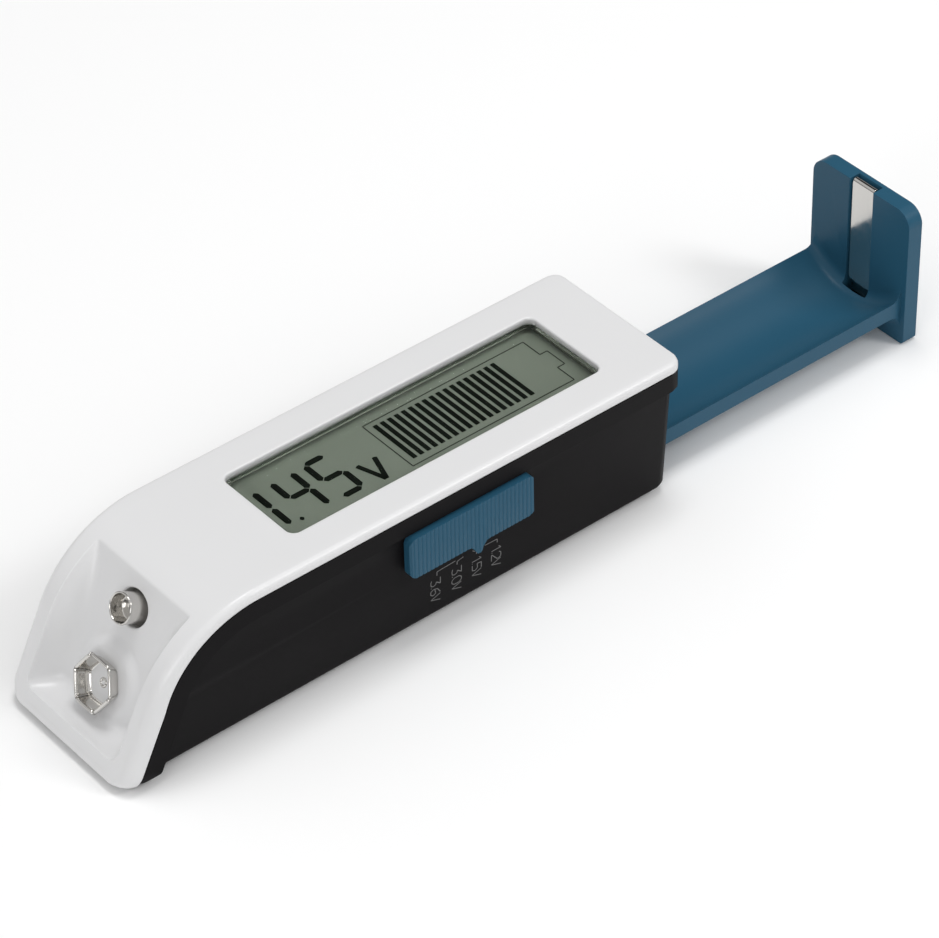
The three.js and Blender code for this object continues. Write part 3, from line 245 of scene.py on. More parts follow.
def ticks(*runs):
    """Sorted grid lines from runs of (first, last, spacing) and single values, with near-doubles left out."""
    values = []
    for run in runs:
        if np.ndim(run) == 0:
            values.append([run])
        else:
            first, last, spacing = run
            values.append(np.linspace(first, last, max(2, round(abs(last - first) / spacing) + 1)))
    line = np.unique(np.round(np.concatenate(values), 4))
    return line[np.concatenate([[True], np.diff(line) > 0.012])]


def around(edge, offsets):
    """Grid lines at these offsets outside an edge at +edge and -edge."""
    return [value for offset in offsets for value in (edge + offset, -edge - offset)]


def grid_faces(rows, columns, closed=False):
    """Four-cornered faces between neighbouring rows and columns of a grid, round the columns if closed."""
    i, j = np.meshgrid(np.arange(rows - 1), np.arange(columns if closed else columns - 1), indexing="ij")
    k = (j + 1) % columns
    return np.stack([i * columns + j, i * columns + k, (i + 1) * columns + k, (i + 1) * columns + j], -1)


def new_piece(name, points, faces, material, body, slot, nodes=(), sharp=40):
    """A piece from points in millimetres, smooth but for edges sharper than an angle, riding on a body."""
    mesh = bpy.data.meshes.new(name)
    faces = np.asarray(faces)
    places = np.asarray(points).reshape(-1, 3) * MILLIMETRE
    mesh.from_pydata(places.tolist(), [], faces.reshape(-1, faces.shape[-1]).tolist())
    work = bmesh.new()
    work.from_mesh(mesh)
    bmesh.ops.remove_doubles(work, verts=work.verts, dist=2e-7)
    bmesh.ops.dissolve_degenerate(work, dist=1e-7, edges=work.edges)
    loose = [vertex for vertex in work.verts if not vertex.link_faces]
    bmesh.ops.delete(work, geom=loose, context="VERTS")
    work.to_mesh(mesh)
    work.free()
    mesh.shade_smooth()
    mesh.set_sharp_from_angle(angle=math.radians(sharp))
    mesh.materials.append(material)
    piece = bpy.data.objects.new(name, mesh)
    scene.collection.objects.link(piece)
    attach(piece, body)
    if nodes:
        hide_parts(*nodes)
    return piece


def moulded(name, colour, roughness, grain=0.02, cloud=0.03, coat=0.0, gloss=0.5):
    """Moulded plastic: an even colour with a faint cloudiness, and a fine spark-eroded grain as bump."""
    material = bpy.data.materials.new(name)
    material.use_nodes = True
    nodes = material.node_tree.nodes
    links = material.node_tree.links
    shader = nodes["Principled BSDF"]
    place = nodes.new("ShaderNodeTexCoord")
    clouds = nodes.new("ShaderNodeTexNoise")
    clouds.inputs["Scale"].default_value = 60
    clouds.inputs["Detail"].default_value = 3
    links.new(place.outputs["Object"], clouds.inputs["Vector"])
    tint = nodes.new("ShaderNodeMix")
    tint.data_type = "RGBA"
    tint.inputs["A"].default_value = [channel * (1 - cloud) for channel in colour] + [1]
    tint.inputs["B"].default_value = [min(1, channel * (1 + cloud)) for channel in colour] + [1]
    links.new(clouds.outputs["Fac"], tint.inputs["Factor"])
    links.new(tint.outputs["Result"], shader.inputs["Base Color"])
    spark = nodes.new("ShaderNodeTexNoise")
    spark.inputs["Scale"].default_value = 4200
    spark.inputs["Detail"].default_value = 2
    links.new(place.outputs["Object"], spark.inputs["Vector"])
    bump = nodes.new("ShaderNodeBump")
    bump.inputs["Strength"].default_value = 1
    bump.inputs["Distance"].default_value = grain * MILLIMETRE
    links.new(spark.outputs["Fac"], bump.inputs["Height"])
    links.new(bump.outputs["Normal"], shader.inputs["Normal"])
    shine = nodes.new("ShaderNodeMapRange")
    shine.inputs["To Min"].default_value = roughness - 0.05
    shine.inputs["To Max"].default_value = roughness + 0.05
    links.new(clouds.outputs["Fac"], shine.inputs["Value"])
    links.new(shine.outputs["Result"], shader.inputs["Roughness"])
    shader.inputs["IOR"].default_value = 1.5
    shader.inputs["Specular IOR Level"].default_value = gloss
    shader.inputs["Coat Weight"].default_value = coat
    shader.inputs["Coat Roughness"].default_value = 0.1
    return material


white_plastic = moulded("white_satin_plastic", (0.73, 0.73, 0.735), 0.3, grain=0.008, cloud=0.012)

WINDOW_MIDDLE = HALF_LENGTH - 13.1
WINDOW_HALF_LENGTH = 29.85
WINDOW_HALF_WIDTH = 8.65
WINDOW_CORNER = 1.5
LIP = 0.35
WINDOW_WALL = 1.35
WINDOW_REACH = 2.0
CUT_INSET = 0.02
POCKET_TOP = 30.4
POCKET_FAR_END = 60
POCKET_HALF = 11.4
POCKET_BOTTOM = 3.3
POCKET_CORNER = 2.2
POCKET_DEPTH = 4.7
POCKET_WALL = 4.6
LOWER_WALL_SHARE = 0.75
POCKET_LIP = 0.35
POCKET_REACH = 1.4
BOSS_RADIUS = 7.4
BOSS_EASE = 2.2
BOSS_HEIGHT = 0.75
SNAP_MIDDLE = 16.5
SNAP_SPACING = 12.7
STUD_UP = SNAP_MIDDLE + SNAP_SPACING / 2
SOCKET_UP = SNAP_MIDDLE - SNAP_SPACING / 2
STUD_HOLE = 3.15
HOLE_LIP = 0.3
HOLE_WALL = 1.4
HOLE_REACH = 2.4
NOSE_MARGIN = 4
LIP_STEPS = [0.36, 0.25, 0.16, 0.08, 0.03, 0.0, -0.04]

# The pocket is laid out along the slope's plane. On the nose arc a distance along the profile is turned into
# a distance up that plane and back.
pocket_top_s = NOSE_CORNER - POCKET_TOP
stud_s = NOSE_CORNER - SLOPE_LENGTH - NOSE_RADIUS * math.asin((STUD_UP - SLOPE_LENGTH) / NOSE_RADIUS)
rows = ticks(
    (0, END_CORNER, 0.26), 0.05, 0.13, (END_CORNER, FLAT_LENGTH, 2.4), (FLAT_LENGTH, pocket_top_s, 0.5),
    (pocket_top_s, TIP_START, 0.32), (TIP_START - 2.6, FOOT_START, 0.13), (FOOT_START, FOOT_START + 1.5, 0.4),
    *[WINDOW_MIDDLE + value for value in around(WINDOW_HALF_LENGTH, LIP_STEPS)],
    *[WINDOW_MIDDLE + value for value in around(WINDOW_HALF_LENGTH, [-1.5, -1.2, -0.9, -0.6, -0.3])],
    *[stud_s + value for value in around(STUD_HOLE, LIP_STEPS)],
    (NOSE_CORNER - POCKET_BOTTOM - 2.2, NOSE_CORNER - POCKET_BOTTOM + 0.5, 0.12),
)
flat_half = ticks(
    (0, 12.6, 0.55), *[WINDOW_HALF_WIDTH + step for step in LIP_STEPS + [-1.5, -1.2, -0.9, -0.6, -0.3]],
    *[STUD_HOLE + step for step in LIP_STEPS], (POCKET_HALF - 2.4, POCKET_HALF + 0.4, 0.13),
)
flat_y = np.concatenate([-flat_half[:0:-1], flat_half])
ROUND_STEPS = 10
SKIRT_STEPS = 3


def cover_section(s):
    """Width and depth below the outer face of each column at rows s: skirt, quarter circle, flat, and back.

    The third result is each row's full depth of skirt, which grows with the cube of the way down the nose.
    """
    _, _, nose = side_profile(s)
    skirt = (SKIRT_TOP + (SKIRT_NOSE - SKIRT_TOP) * nose**3)[:, None]
    foot_distance = np.clip(FOOT_START - s, 0, None)
    side = (HALF_WIDTH - round_off(END_CORNER, s) - round_off(FOOT_CORNER, foot_distance))[:, None]
    drop = round_off(TOP_EDGE, s)[:, None]
    wanted = (TOP_EDGE + (NOSE_EDGE - TOP_EDGE) * nose**2)[:, None]
    radius = np.minimum(wanted, skirt - drop - 0.15)
    down = np.linspace(0, 1, SKIRT_STEPS, endpoint=False)[None, :]
    skirt_depth = skirt + (drop + radius - skirt) * down
    turn = np.linspace(0, math.pi / 2, ROUND_STEPS)[None, :]
    round_y = side - radius * (1 - np.cos(turn))
    round_depth = drop + radius * (1 - np.sin(turn))
    left_y = np.concatenate([side + 0 * skirt_depth, round_y], 1)
    left_depth = np.concatenate([skirt_depth, round_depth], 1)
    scale = np.minimum(1, (side - radius - 0.05) / flat_y[-1])
    y = np.concatenate([-left_y, flat_y[None, :] * scale, left_y[:, ::-1]], 1)
    depth = np.concatenate([left_depth, drop + 0 * flat_y[None, :] * scale, left_depth[:, ::-1]], 1)
    return y, depth, skirt


y, depth, skirt = cover_section(rows)
s = np.repeat(rows[:, None], y.shape[1], 1)

# Window: bend the grid round its corners, then drop the lip and the wall
bent_s, bent_y, outside = round_corners(
    s - WINDOW_MIDDLE, y, WINDOW_HALF_LENGTH, WINDOW_HALF_WIDTH, WINDOW_CORNER, WINDOW_REACH)
s = bent_s + WINDOW_MIDDLE
y = bent_y
depth += np.where(outside < LIP, round_off(LIP, np.clip(outside, 0, LIP)), 0)
in_window = outside < -CUT_INSET
depth = np.where(in_window, WINDOW_WALL, depth)

# Pocket: bend the grid round its two lower corners and round the stud's hole. The outline runs on to a far
# end above the pocket, so that no upper corner is rounded.
up = NOSE_CORNER - s
pocket_middle = (POCKET_BOTTOM + POCKET_FAR_END) / 2
bent_up, bent_y, pocket_out = round_corners(
    up - pocket_middle, y, pocket_middle - POCKET_BOTTOM, POCKET_HALF, POCKET_CORNER, POCKET_REACH)
nosed = s > pocket_top_s - NOSE_MARGIN
up = np.where(nosed, bent_up + pocket_middle, up)
y = np.where(nosed, bent_y, y)
hole_up = NOSE_CORNER - stud_s
bent_up, bent_y, hole_out = round_corners(up - hole_up, y, STUD_HOLE, STUD_HOLE, STUD_HOLE, HOLE_REACH)
up = np.where(nosed, bent_up + hole_up, up)
y = np.where(nosed, bent_y, y)
s = NOSE_CORNER - up

point, inward, _ = side_profile(s)
on_slope = (point - np.array([-HALF_LENGTH, 0])) @ SLOPE_UP
below_plane = (point - np.array([-HALF_LENGTH, 0])) @ SLOPE_IN


def wall_share(distance, width):
    """Share of the full depth at a distance d inside the pocket's outline, for a wall of this width w.

    It is 1 - (1 - d/w) to the power 2.3, times the root of a smooth step over the lip.
    """
    share = np.clip(distance / width, 0, 1)
    lip = np.clip(distance / POCKET_LIP, 0, 1)
    return (1 - (1 - share) ** 2.3) * (lip * lip * (3 - 2 * lip)) ** 0.5


room = np.clip(POCKET_DEPTH - below_plane, 0, None)
tall = np.clip(room / POCKET_DEPTH, 0.05, 1)
side_distance = POCKET_HALF - np.abs(y)
bottom_distance = up - POCKET_BOTTOM
share = wall_share(side_distance, POCKET_WALL * tall**0.7)
share = share * wall_share(bottom_distance, POCKET_WALL * LOWER_WALL_SHARE)
share = np.where((pocket_out < 0) & nosed, share, 0)
boss = np.clip((BOSS_RADIUS - np.hypot(on_slope - SOCKET_UP, y)) / BOSS_EASE, 0, 1)
sink = room * share - BOSS_HEIGHT * boss * boss * (3 - 2 * boss) * share
hole_edge = round_off(HOLE_LIP, np.clip(hole_out, 0, HOLE_LIP))
sink += np.where(nosed & (hole_out < HOLE_LIP), hole_edge, 0)
in_hole = nosed & (hole_out < -CUT_INSET)
sink += np.where(in_hole, HOLE_WALL, 0)

# From depth below the outer face to a place in space. Past the tip, the sections close on one line.
inner = point + inward * skirt[..., None]
last = point[rows < TIP_START][-1, 0] + inward[rows < TIP_START][-1, 0] * SKIRT_NOSE
tip = (s > TIP_START)[..., None]
reach = np.where(tip, last - point, inner - point) / skirt[..., None]
place_xz = point + reach * depth[..., None] + SLOPE_IN * sink[..., None]
place_xz[..., 1] = np.maximum(place_xz[..., 1], 0)
most = HALF_WIDTH - round_off(FOOT_EDGE, place_xz[..., 1])
points = np.stack([place_xz[..., 0], np.clip(y, -most, most), place_xz[..., 1]], -1)

end_row = points[:1].copy()
end_row[..., 2] = HEIGHT - SKIRT_TOP
points = np.concatenate([end_row, points])
faces = grid_faces(*points.shape[:2])
gone = np.concatenate([np.zeros_like(in_window[:1]), in_window | in_hole]).reshape(-1)
faces = faces.reshape(-1, 4)
faces = faces[~gone[faces].all(-1)]
cover = new_piece("cover", points, faces, white_plastic, "housing", "white_plastic", ["top_cover"], sharp=32)
wall = cover.modifiers.new("wall", "SOLIDIFY")
wall.thickness = COVER_THICKNESS * MILLIMETRE
wall.offset = -1

# The wall's inner skin is made final here, so that it can be held above the ground at the nose's sharp foot
walled = bpy.data.meshes.new_from_object(cover.evaluated_get(bpy.context.evaluated_depsgraph_get()))
cover.modifiers.clear()
cover.data = walled
places = np.empty(len(walled.vertices) * 3)
walled.vertices.foreach_get("co", places)
places[2::3] = np.maximum(places[2::3], 0)
walled.vertices.foreach_set("co", places)
walled.update()

# ---------------------------------------------------------------------------------------------------------
# Base shell
# A black ABS tub in a satin grain. A band flush with the cover stands a millimetre proud of the lower body,
# and the end wall has the tray's mouth and the seat of the negative contact.
# ---------------------------------------------------------------------------------------------------------


def smooth_copy(name, node, material, body, bevel=0.12, sharp=28):
    """A copy of a CAD node as one clean skin: corners merged, flat faces joined, and edges finely rounded."""
    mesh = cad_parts[node].data.copy()
    mesh.name = name
    work = bmesh.new()
    work.from_mesh(mesh)
    bmesh.ops.remove_doubles(work, verts=work.verts, dist=1e-6)
    bmesh.ops.dissolve_limit(work, angle_limit=math.radians(0.4), verts=work.verts, edges=work.edges)
    work.to_mesh(mesh)
    work.free()
    mesh.shade_smooth()
    mesh.set_sharp_from_angle(angle=math.radians(sharp))
    mesh.materials.clear()
    mesh.materials.append(material)
    piece = bpy.data.objects.new(name, mesh)
    scene.collection.objects.link(piece)
    if bevel:
        edge = piece.modifiers.new("edge", "BEVEL")
        edge.width = bevel * MILLIMETRE
        edge.segments = 2
        edge.limit_method = "ANGLE"
        edge.angle_limit = math.radians(sharp)
        edge.harden_normals = True
    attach(piece, body)
    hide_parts(node)
    return piece


black_plastic = moulded(
    "black_satin_plastic", (0.0062, 0.0056, 0.0062), 0.5, grain=0.02, cloud=0.06, gloss=0.06)
smooth_copy("base", "base_shell", black_plastic, "housing", bevel=0.18)

# ---------------------------------------------------------------------------------------------------------
# Tray
# One blue moulding: an arc-shaped cradle that steadies a cell of any size and an end plate with a groove for
# the contact. It slides on rails in the base.
# ---------------------------------------------------------------------------------------------------------
blue_plastic = moulded(
    "blue_satin_plastic", (0.020, 0.088, 0.148), 0.38, grain=0.012, cloud=0.05, gloss=0.18)
smooth_copy("tray", "battery_tray", blue_plastic, "tray", bevel=0.2)

# ---------------------------------------------------------------------------------------------------------
# Selector knob
# One blue moulding with fine upright ribs for the thumb and a pointer on its lower edge. A lever behind it
# carries it along a slot in the base, to one of four places.
# ---------------------------------------------------------------------------------------------------------
smooth_copy("knob", "selector_knob", blue_plastic, "selector", bevel=0.08)

# ---------------------------------------------------------------------------------------------------------
# Battery contacts
# Strips of nickel-plated spring steel: one in the groove of the tray's end plate, one in the end of the case.
# Each is bent to shape and pushed into its seat.
# ---------------------------------------------------------------------------------------------------------


def plated(name, colour=(0.64, 0.625, 0.60), roughness=0.13):
    """Bright nickel on steel: a slightly uneven mirror."""
    material = bpy.data.materials.new(name)
    material.use_nodes = True
    nodes = material.node_tree.nodes
    links = material.node_tree.links
    shader = nodes["Principled BSDF"]
    shader.inputs["Base Color"].default_value = (*colour, 1)
    shader.inputs["Metallic"].default_value = 1
    place = nodes.new("ShaderNodeTexCoord")
    wave = nodes.new("ShaderNodeTexNoise")
    wave.inputs["Scale"].default_value = 900
    links.new(place.outputs["Object"], wave.inputs["Vector"])
    shine = nodes.new("ShaderNodeMapRange")
    shine.inputs["To Min"].default_value = roughness * 0.5
    shine.inputs["To Max"].default_value = roughness * 1.5
    links.new(wave.outputs["Fac"], shine.inputs["Value"])
    links.new(shine.outputs["Result"], shader.inputs["Roughness"])
    return material


nickel = plated("bright_nickel")
smooth_copy("plate_contact", "positive_contact", nickel, "tray", bevel=0.04)
smooth_copy("end_contact", "negative_contact", nickel, "housing", bevel=0.04)

# ---------------------------------------------------------------------------------------------------------
# Display
# A clear acrylic window snapped in from below, over a grey-green reflective liquid-crystal panel. The panel
# shows a voltage in seven-segment figures and a battery outline filled with bars.
# ---------------------------------------------------------------------------------------------------------


def clear_window(name):
    """Clear acrylic with a faint green tint. Light from lamps passes straight through it."""
    material = bpy.data.materials.new(name)
    material.use_nodes = True
    nodes = material.node_tree.nodes
    links = material.node_tree.links
    shader = nodes["Principled BSDF"]
    shader.inputs["Base Color"].default_value = (0.88, 0.91, 0.88, 1)
    shader.inputs["Transmission Weight"].default_value = 1
    shader.inputs["Roughness"].default_value = 0.02
    shader.inputs["IOR"].default_value = 1.12
    straight = nodes.new("ShaderNodeBsdfTransparent")
    straight.inputs["Color"].default_value = (0.9, 0.93, 0.9, 1)
    rays = nodes.new("ShaderNodeLightPath")
    mix = nodes.new("ShaderNodeMixShader")
    links.new(rays.outputs["Is Shadow Ray"], mix.inputs["Fac"])
    links.new(shader.outputs["BSDF"], mix.inputs[1])
    links.new(straight.outputs["BSDF"], mix.inputs[2])
    links.new(mix.outputs["Shader"], nodes["Material Output"].inputs["Surface"])
    return material


def paint(node, material):
    """Gives a CAD node this material in its first slot."""
    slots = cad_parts[node].data.materials
    slots.clear()
    slots.append(material)


paint("display_window", clear_window("clear_acrylic"))
liquid_crystal = moulded(
    "liquid_crystal_panel", (0.130, 0.139, 0.121), 0.6, grain=0.0, cloud=0.05, gloss=0.1)
paint("lcd_panel", liquid_crystal)


def bars(ends, width, point, thickness, to_space):
    """Thin six-cornered prisms along straight runs: a run's two ends are points, and its sides are parallel.

    ends holds a start and an end for each run. The corners are the start, two at point from it and half a
    width to each side, the same at the far end, and the end. to_space turns flat x, y and height to 3-D.
    """
    ends = np.asarray(ends, float)
    start, end = ends[:, 0], ends[:, 1]
    along = (end - start) / np.linalg.norm(end - start, axis=1, keepdims=True)
    across = np.stack([-along[:, 1], along[:, 0]], 1) * width / 2
    near = start + along * point
    far = end - along * point
    outline = np.stack([start, near - across, far - across, end, far + across, near + across], 1)
    flat = np.concatenate([outline, outline], 1)
    height = np.repeat([0, thickness], 6)[None, :] + 0 * flat[..., 0]
    points = to_space(flat[..., 0], flat[..., 1], height)
    sides = [[i, (i + 1) % 6, (i + 1) % 6 + 6, i + 6] for i in range(6)]
    lids = [[0, 5, 4, 1], [4, 3, 2, 1], [6, 7, 10, 11], [7, 8, 9, 10]]
    faces = np.array(sides + lids)
    return points.reshape(-1, 3), (faces[None] + 12 * np.arange(len(ends))[:, None, None]).reshape(-1, 4)


def joined(*parts):
    """Points and faces of several parts as one list each."""
    points = np.concatenate([part[0] for part in parts])
    starts = np.cumsum([0] + [len(part[0]) for part in parts[:-1]])
    return points, np.concatenate([part[1] + start for part, start in zip(parts, starts)])


def on_panel(x, y, height):
    """A place on the face of the liquid-crystal panel, just clear of it."""
    return np.stack([x, y, PANEL_TOP + PANEL_CLEARANCE + height], -1)


PANEL_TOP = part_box("lcd_panel")[1][2] / MILLIMETRE
PANEL_CLEARANCE = 0.01
SEGMENT_THICKNESS = 0.02
FIGURE_LOW = -4.65
FIGURE_HIGH = 5.85
FIGURE_WIDTH = 3.75
FIGURE_STROKE = 1.1
FIGURE_GAP = 0.12
SEGMENTS = {
    "a": ((0, 1), (1, 1)), "b": ((1, 1), (1, 0.5)), "c": ((1, 0.5), (1, 0)), "d": ((0, 0), (1, 0)),
    "e": ((0, 0.5), (0, 0)), "f": ((0, 1), (0, 0.5)), "g": ((0, 0.5), (1, 0.5)),
}
FIGURES = ((-17.3, "bc"), (-10.2, "bcfg"), (-3.95, "acdfg"))


def seven_segments(left, lit):
    """The lit segments of one figure: each joins two corners of a 1 by 1 cell, short of them by a gap."""
    low = FIGURE_LOW + FIGURE_STROKE / 2
    size = np.array([FIGURE_WIDTH, FIGURE_HIGH - FIGURE_LOW - FIGURE_STROKE])
    runs = np.array([SEGMENTS[letter] for letter in lit], float) * size + [left, low]
    along = runs[:, 1] - runs[:, 0]
    along *= FIGURE_GAP / np.linalg.norm(along, axis=1, keepdims=True)
    return np.stack([runs[:, 0] + along, runs[:, 1] - along], 1)


figures = np.concatenate([seven_segments(left, lit) for left, lit in FIGURES])
point_mark = [((-11.95, -4.1), (-11.15, -4.1))]
volt_mark = [((1.95, 0.1), (3.65, -5.1)), ((5.3, 0.1), (3.65, -5.1))]
BAR_COUNT = 18
BAR_FIRST = 9.95
BAR_PITCH = 1.352
bar_x = BAR_FIRST + BAR_PITCH * np.arange(BAR_COUNT)
level_bars = np.stack([np.stack([bar_x, 0 * bar_x - 4.1], 1), np.stack([bar_x, 0 * bar_x + 5.9], 1)], 1)
cell_outline = np.array([
    (8.4, -5.4), (40.05, -5.4), (40.05, -1.45), (41.5, -1.45), (41.5, 2.75), (40.05, 2.75), (40.05, 6.85),
    (8.4, 6.85),
])
outline_runs = np.stack([cell_outline, np.roll(cell_outline, -1, 0)], 1)
display_black = moulded(
    "display_black", (0.002, 0.003, 0.002), 0.6, grain=0.0, cloud=0.02, gloss=0.05)
display_marks = joined(
    bars(figures, FIGURE_STROKE, FIGURE_STROKE * 0.45, SEGMENT_THICKNESS, on_panel),
    bars(point_mark, 0.8, 0.25, SEGMENT_THICKNESS, on_panel),
    bars(volt_mark, 0.85, 0.1, SEGMENT_THICKNESS, on_panel),
    bars(level_bars, 0.82, 0.02, SEGMENT_THICKNESS, on_panel),
    bars(outline_runs, 0.17, 0.01, SEGMENT_THICKNESS, on_panel),
)
new_piece("display_marks", *display_marks, display_black, "housing", "display_glass", sharp=30)

# ---------------------------------------------------------------------------------------------------------
# Snap terminals
# Pressed from nickel-plated brass: a drawn cup with a rolled rim, and a flower of six petals round a hexagon,
# each riveted to the board behind the pocket.
# ---------------------------------------------------------------------------------------------------------
POCKET_FOOT = SLOPE_IN * POCKET_DEPTH + np.array([-HALF_LENGTH, 0])


def on_pocket_floor(across, along, height, up):
    """A terminal's own place to the model's: across is Y, along is up the slope, height is off the floor."""
    xz = POCKET_FOOT + SLOPE_UP * (up + along)[..., None] - SLOPE_IN * np.asarray(height)[..., None]
    return np.stack([xz[..., 0], across, xz[..., 1]], -1)


def smooth_line(corners, steps):
    """A soft curve near the corners: each stretch between the middles of two runs is a quadratic Bezier."""
    corners = np.asarray(corners, float)
    middles = (corners[:-1] + corners[1:]) / 2
    t = np.linspace(0, 1, steps)[:, None]
    parts = [corners[:1]]
    for before, corner, after in zip(middles[:-1], corners[1:-1], middles[1:]):
        parts.append((1 - t) ** 2 * before + 2 * t * (1 - t) * corner + t**2 * after)
    return np.concatenate(parts + [corners[-1:]])


def turned(profile, up, count=64):
    """A profile of radius and height turned about the terminal's axis."""
    turn = np.linspace(0, 2 * math.pi, count, endpoint=False)[None, :]
    radius, height = profile[:, 0][:, None], profile[:, 1][:, None]
    points = on_pocket_floor(radius * np.sin(turn), radius * np.cos(turn), height + 0 * turn, up)
    return points, grid_faces(len(profile), count, closed=True)


STUD_PROFILE = [
    (0, -0.2), (0.5, -0.2), (0.75, -0.1), (0.8, 0.12), (0.6, 0.28), (0.85, 0.3), (1.9, 0.3), (2.1, 0.5),
    (2.12, 2.2), (2.16, 2.5), (2.3, 2.66), (2.46, 2.6), (2.52, 2.42), (2.42, 2.2), (2.4, 0.4), (2.42, -0.5),
    (2.55, -1.3), (3.1, -1.6), (3.1, -1.8), (2.4, -1.8), (2.4, -1.95), (0, -1.95),
]
points, faces = turned(smooth_line(STUD_PROFILE, 5), STUD_UP)
new_piece("stud", points, faces, nickel, "housing", "nickel", ["snap_stud"], sharp=50)

PETALS = 6
PETAL_THICKNESS = 0.28
PETAL_GAP = 0.09
PETAL_PROFILE = [
    (0.9, 0.3), (1.9, 0.35), (2.9, 0.6), (3.36, 1.4), (3.5, 2.4), (3.6, 2.95), (3.84, 3.02), (3.96, 2.75),
]


def petal(index):
    """One petal: an open profile of reach and height swept along one side of a hexagon, between its corners.

    At reach r the side runs from -w to w with w = r tan(30 degrees) less half the gap, and it bows out by a
    tenth of a millimetre in its middle. A thickness is given to it afterwards.
    """
    profile = smooth_line(PETAL_PROFILE, 6)
    reach, height = profile[:, 0][:, None], profile[:, 1][:, None]
    sweep = np.linspace(-1, 1, 9)[None, :]
    outward = reach + 0.1 * (1 - sweep**2)
    sideways = (reach * math.tan(math.pi / PETALS) - PETAL_GAP) * sweep
    angle = index * 2 * math.pi / PETALS
    across = outward * math.sin(angle) + sideways * math.cos(angle)
    along = outward * math.cos(angle) - sideways * math.sin(angle)
    points = on_pocket_floor(across, along, height + 0 * sweep, SOCKET_UP)
    return points.reshape(-1, 3), grid_faces(len(profile), 9).reshape(-1, 4)


points, faces = joined(*[petal(index) for index in range(PETALS)])
petals = new_piece("socket_petals", points, faces, nickel, "housing", "nickel", ["snap_socket"], sharp=45)
sheet = petals.modifiers.new("sheet", "SOLIDIFY")
sheet.thickness = PETAL_THICKNESS * MILLIMETRE
sheet.offset = 0
FLOWER_CENTRE = [
    (0, 0.72), (0.3, 0.7), (0.42, 0.9), (0.62, 0.95), (0.8, 0.85), (0.85, 0.6), (0.95, 0.5), (1.2, 0.5),
    (1.2, -1.2), (0, -1.2),
]
points, faces = turned(smooth_line(FLOWER_CENTRE, 5), SOCKET_UP, 48)
new_piece("socket_rivet", points, faces, nickel, "housing", "nickel", sharp=45)

# ---------------------------------------------------------------------------------------------------------
# Printed scale
# Thin grey pad print on the lower body under the selector: four generic voltages, each with a line that leads
# to its place on the selector's path.
# ---------------------------------------------------------------------------------------------------------
print_grey = moulded("print_grey", (0.14, 0.14, 0.14), 0.6, grain=0.0, cloud=0.1)
LETTER_HEIGHT = 1.85
LETTER_STROKE = 0.15
LETTERS = {
    "1": (((0.15, 0.75), (0.4, 1), (0.4, 0)), 0.62),
    "2": (((0, 0.8), (0.15, 1), (0.55, 1), (0.7, 0.8), (0.7, 0.6), (0, 0.05), (0, 0), (0.7, 0)), 0.9),
    "3": (((0, 1), (0.7, 1), (0.35, 0.58), (0.6, 0.52), (0.7, 0.3), (0.6, 0.05), (0.3, 0), (0, 0.08)), 0.9),
    "5": (((0.65, 1), (0.05, 1), (0, 0.55), (0.45, 0.6), (0.68, 0.35), (0.55, 0.05), (0, 0.04)), 0.88),
    "6": ((
        (0.6, 1), (0.1, 0.7), (0, 0.3), (0.15, 0), (0.5, 0), (0.68, 0.25), (0.5, 0.52), (0.05, 0.42),
    ), 0.9),
    "0": ((
        (0.2, 0), (0, 0.25), (0, 0.75), (0.2, 1), (0.5, 1), (0.7, 0.75), (0.7, 0.25), (0.5, 0), (0.2, 0),
    ), 0.9),
    ".": (((0.08, 0.0), (0.08, 0.1)), 0.36),
    "V": (((0, 1), (0.35, 0), (0.7, 1)), 0.7),
}
SCALE = (
    ("1.2V", 16.25, ((14.9, 8.6), (17.35, 8.5), (17.35, 7.8))),
    ("1.5V", 12.4, ((12.5, 8.85), (13.3, 8.3), (13.3, 7.8))),
    ("3.0V", 8.5, ((10.75, 8.7), (9.5, 8.45), (9.5, 7.8))),
    ("3.6V", 4.4, ((9.2, 8.75), (5.6, 8.6), (5.6, 7.8))),
)
TEXT_TOP = 7.25
LETTER_WIDTH = 0.98
LETTER_ADVANCE = 0.82
BODY_INSET = 1.6
BODY_LEAN = 0.7
BODY_HEIGHT = 19.0
PRINT_THICKNESS = 0.012


def on_side(x, z, height):
    """A place on the leaning side of the lower body, just clear of it."""
    inset = BODY_INSET - BODY_LEAN * z / BODY_HEIGHT
    return np.stack([x, -(HALF_WIDTH - inset) - PRINT_THICKNESS - height, z], -1)


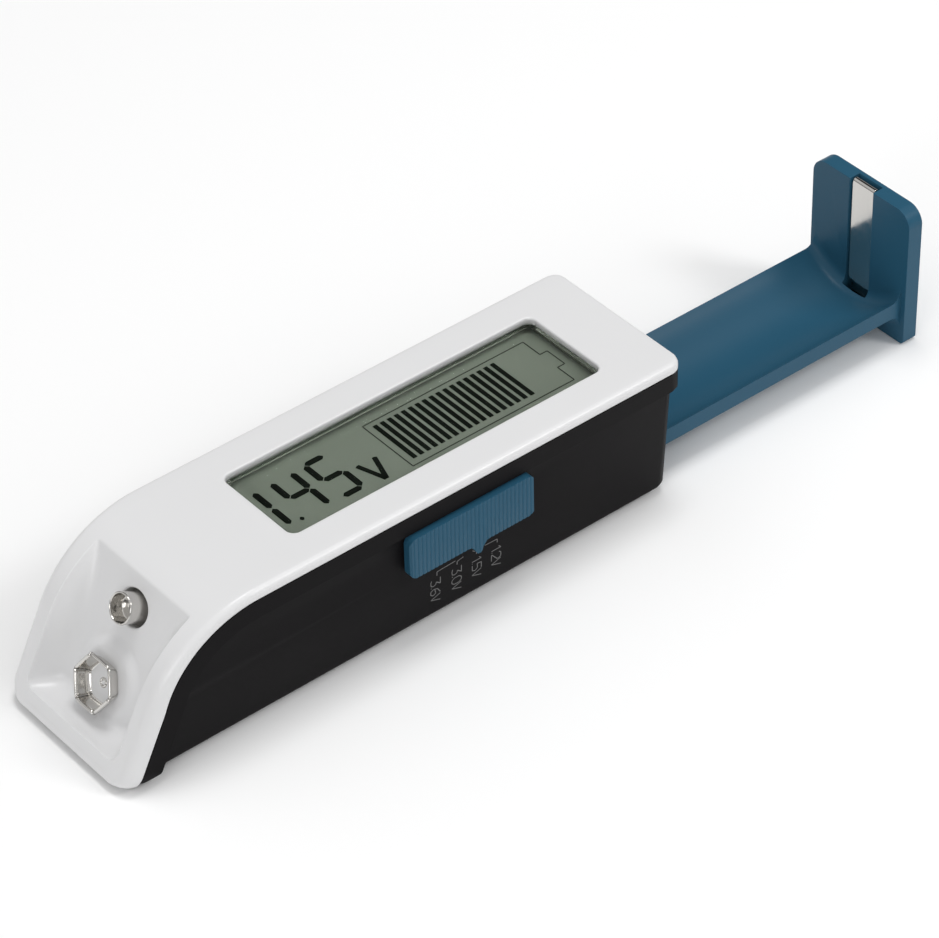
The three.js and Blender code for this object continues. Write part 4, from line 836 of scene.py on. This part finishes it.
def line_runs(line):
    """Start and end of each straight run of a line of corners."""
    line = np.asarray(line, float)
    return np.stack([line[:-1], line[1:]], 1)


runs = []
for word, left, lead_line in SCALE:
    runs.append(line_runs(lead_line))
    pen = 0.0
    for letter in word:
        corners, advance = LETTERS[letter]
        corners = np.array(corners) * LETTER_HEIGHT
        placed = np.stack([left + corners[:, 1], TEXT_TOP - pen - corners[:, 0] * LETTER_WIDTH], 1)
        runs.append(line_runs(placed))
        pen += advance * LETTER_HEIGHT * LETTER_ADVANCE
scale_marks = bars(np.concatenate(runs), LETTER_STROKE, 0.02, PRINT_THICKNESS, on_side)
new_piece("printed_scale", *scale_marks, print_grey, "housing", "black_plastic", sharp=30)

# ---------------------------------------------------------------------------------------------------------
# Inside
# Parts that show only through a gap keep their CAD shape: the board, its components, the slide switch, the
# leads and the case screws.
# ---------------------------------------------------------------------------------------------------------
pale_plastic = moulded("pale_plastic", (0.6, 0.6, 0.56), 0.5)
black_rubber = moulded("black_rubber", (0.03, 0.027, 0.025), 0.8)
INSIDE = {
    "lcd_frame": pale_plastic,
    "switch_lever": pale_plastic,
    "connector_strip_front": black_rubber,
    "connector_strip_back": black_rubber,
    "circuit_board": moulded("green_laminate", (0.013, 0.10, 0.036), 0.3, coat=0.5),
    "controller_chip": moulded("chip_resin", (0.01, 0.01, 0.01), 0.55),
    "switch_body": moulded("switch_resin", (0.01, 0.01, 0.01), 0.5),
    "contact_rail": nickel,
    # The board behind the terminals is near-black as painted shade: it stands in for the dark seen through
    # the hole round the stud.
    "snap_board": moulded("board_painted_shade", (0.02, 0.015, 0.012), 0.8),
    "lead_red": moulded("red_sleeve", (0.35, 0.014, 0.012), 0.4),
    "lead_black": moulded("black_sleeve", (0.01, 0.01, 0.01), 0.4),
}
resistor_coat = moulded("resistor_coat", (0.55, 0.42, 0.22), 0.4)
for number in (1, 2, 3):
    INSIDE[f"load_resistor_{number}"] = resistor_coat
zinc = plated("zinc_plate", (0.55, 0.56, 0.58), 0.3)
for number in (1, 2):
    INSIDE[f"case_screw_{number}"] = zinc
for node, material in INSIDE.items():
    paint(node, material)
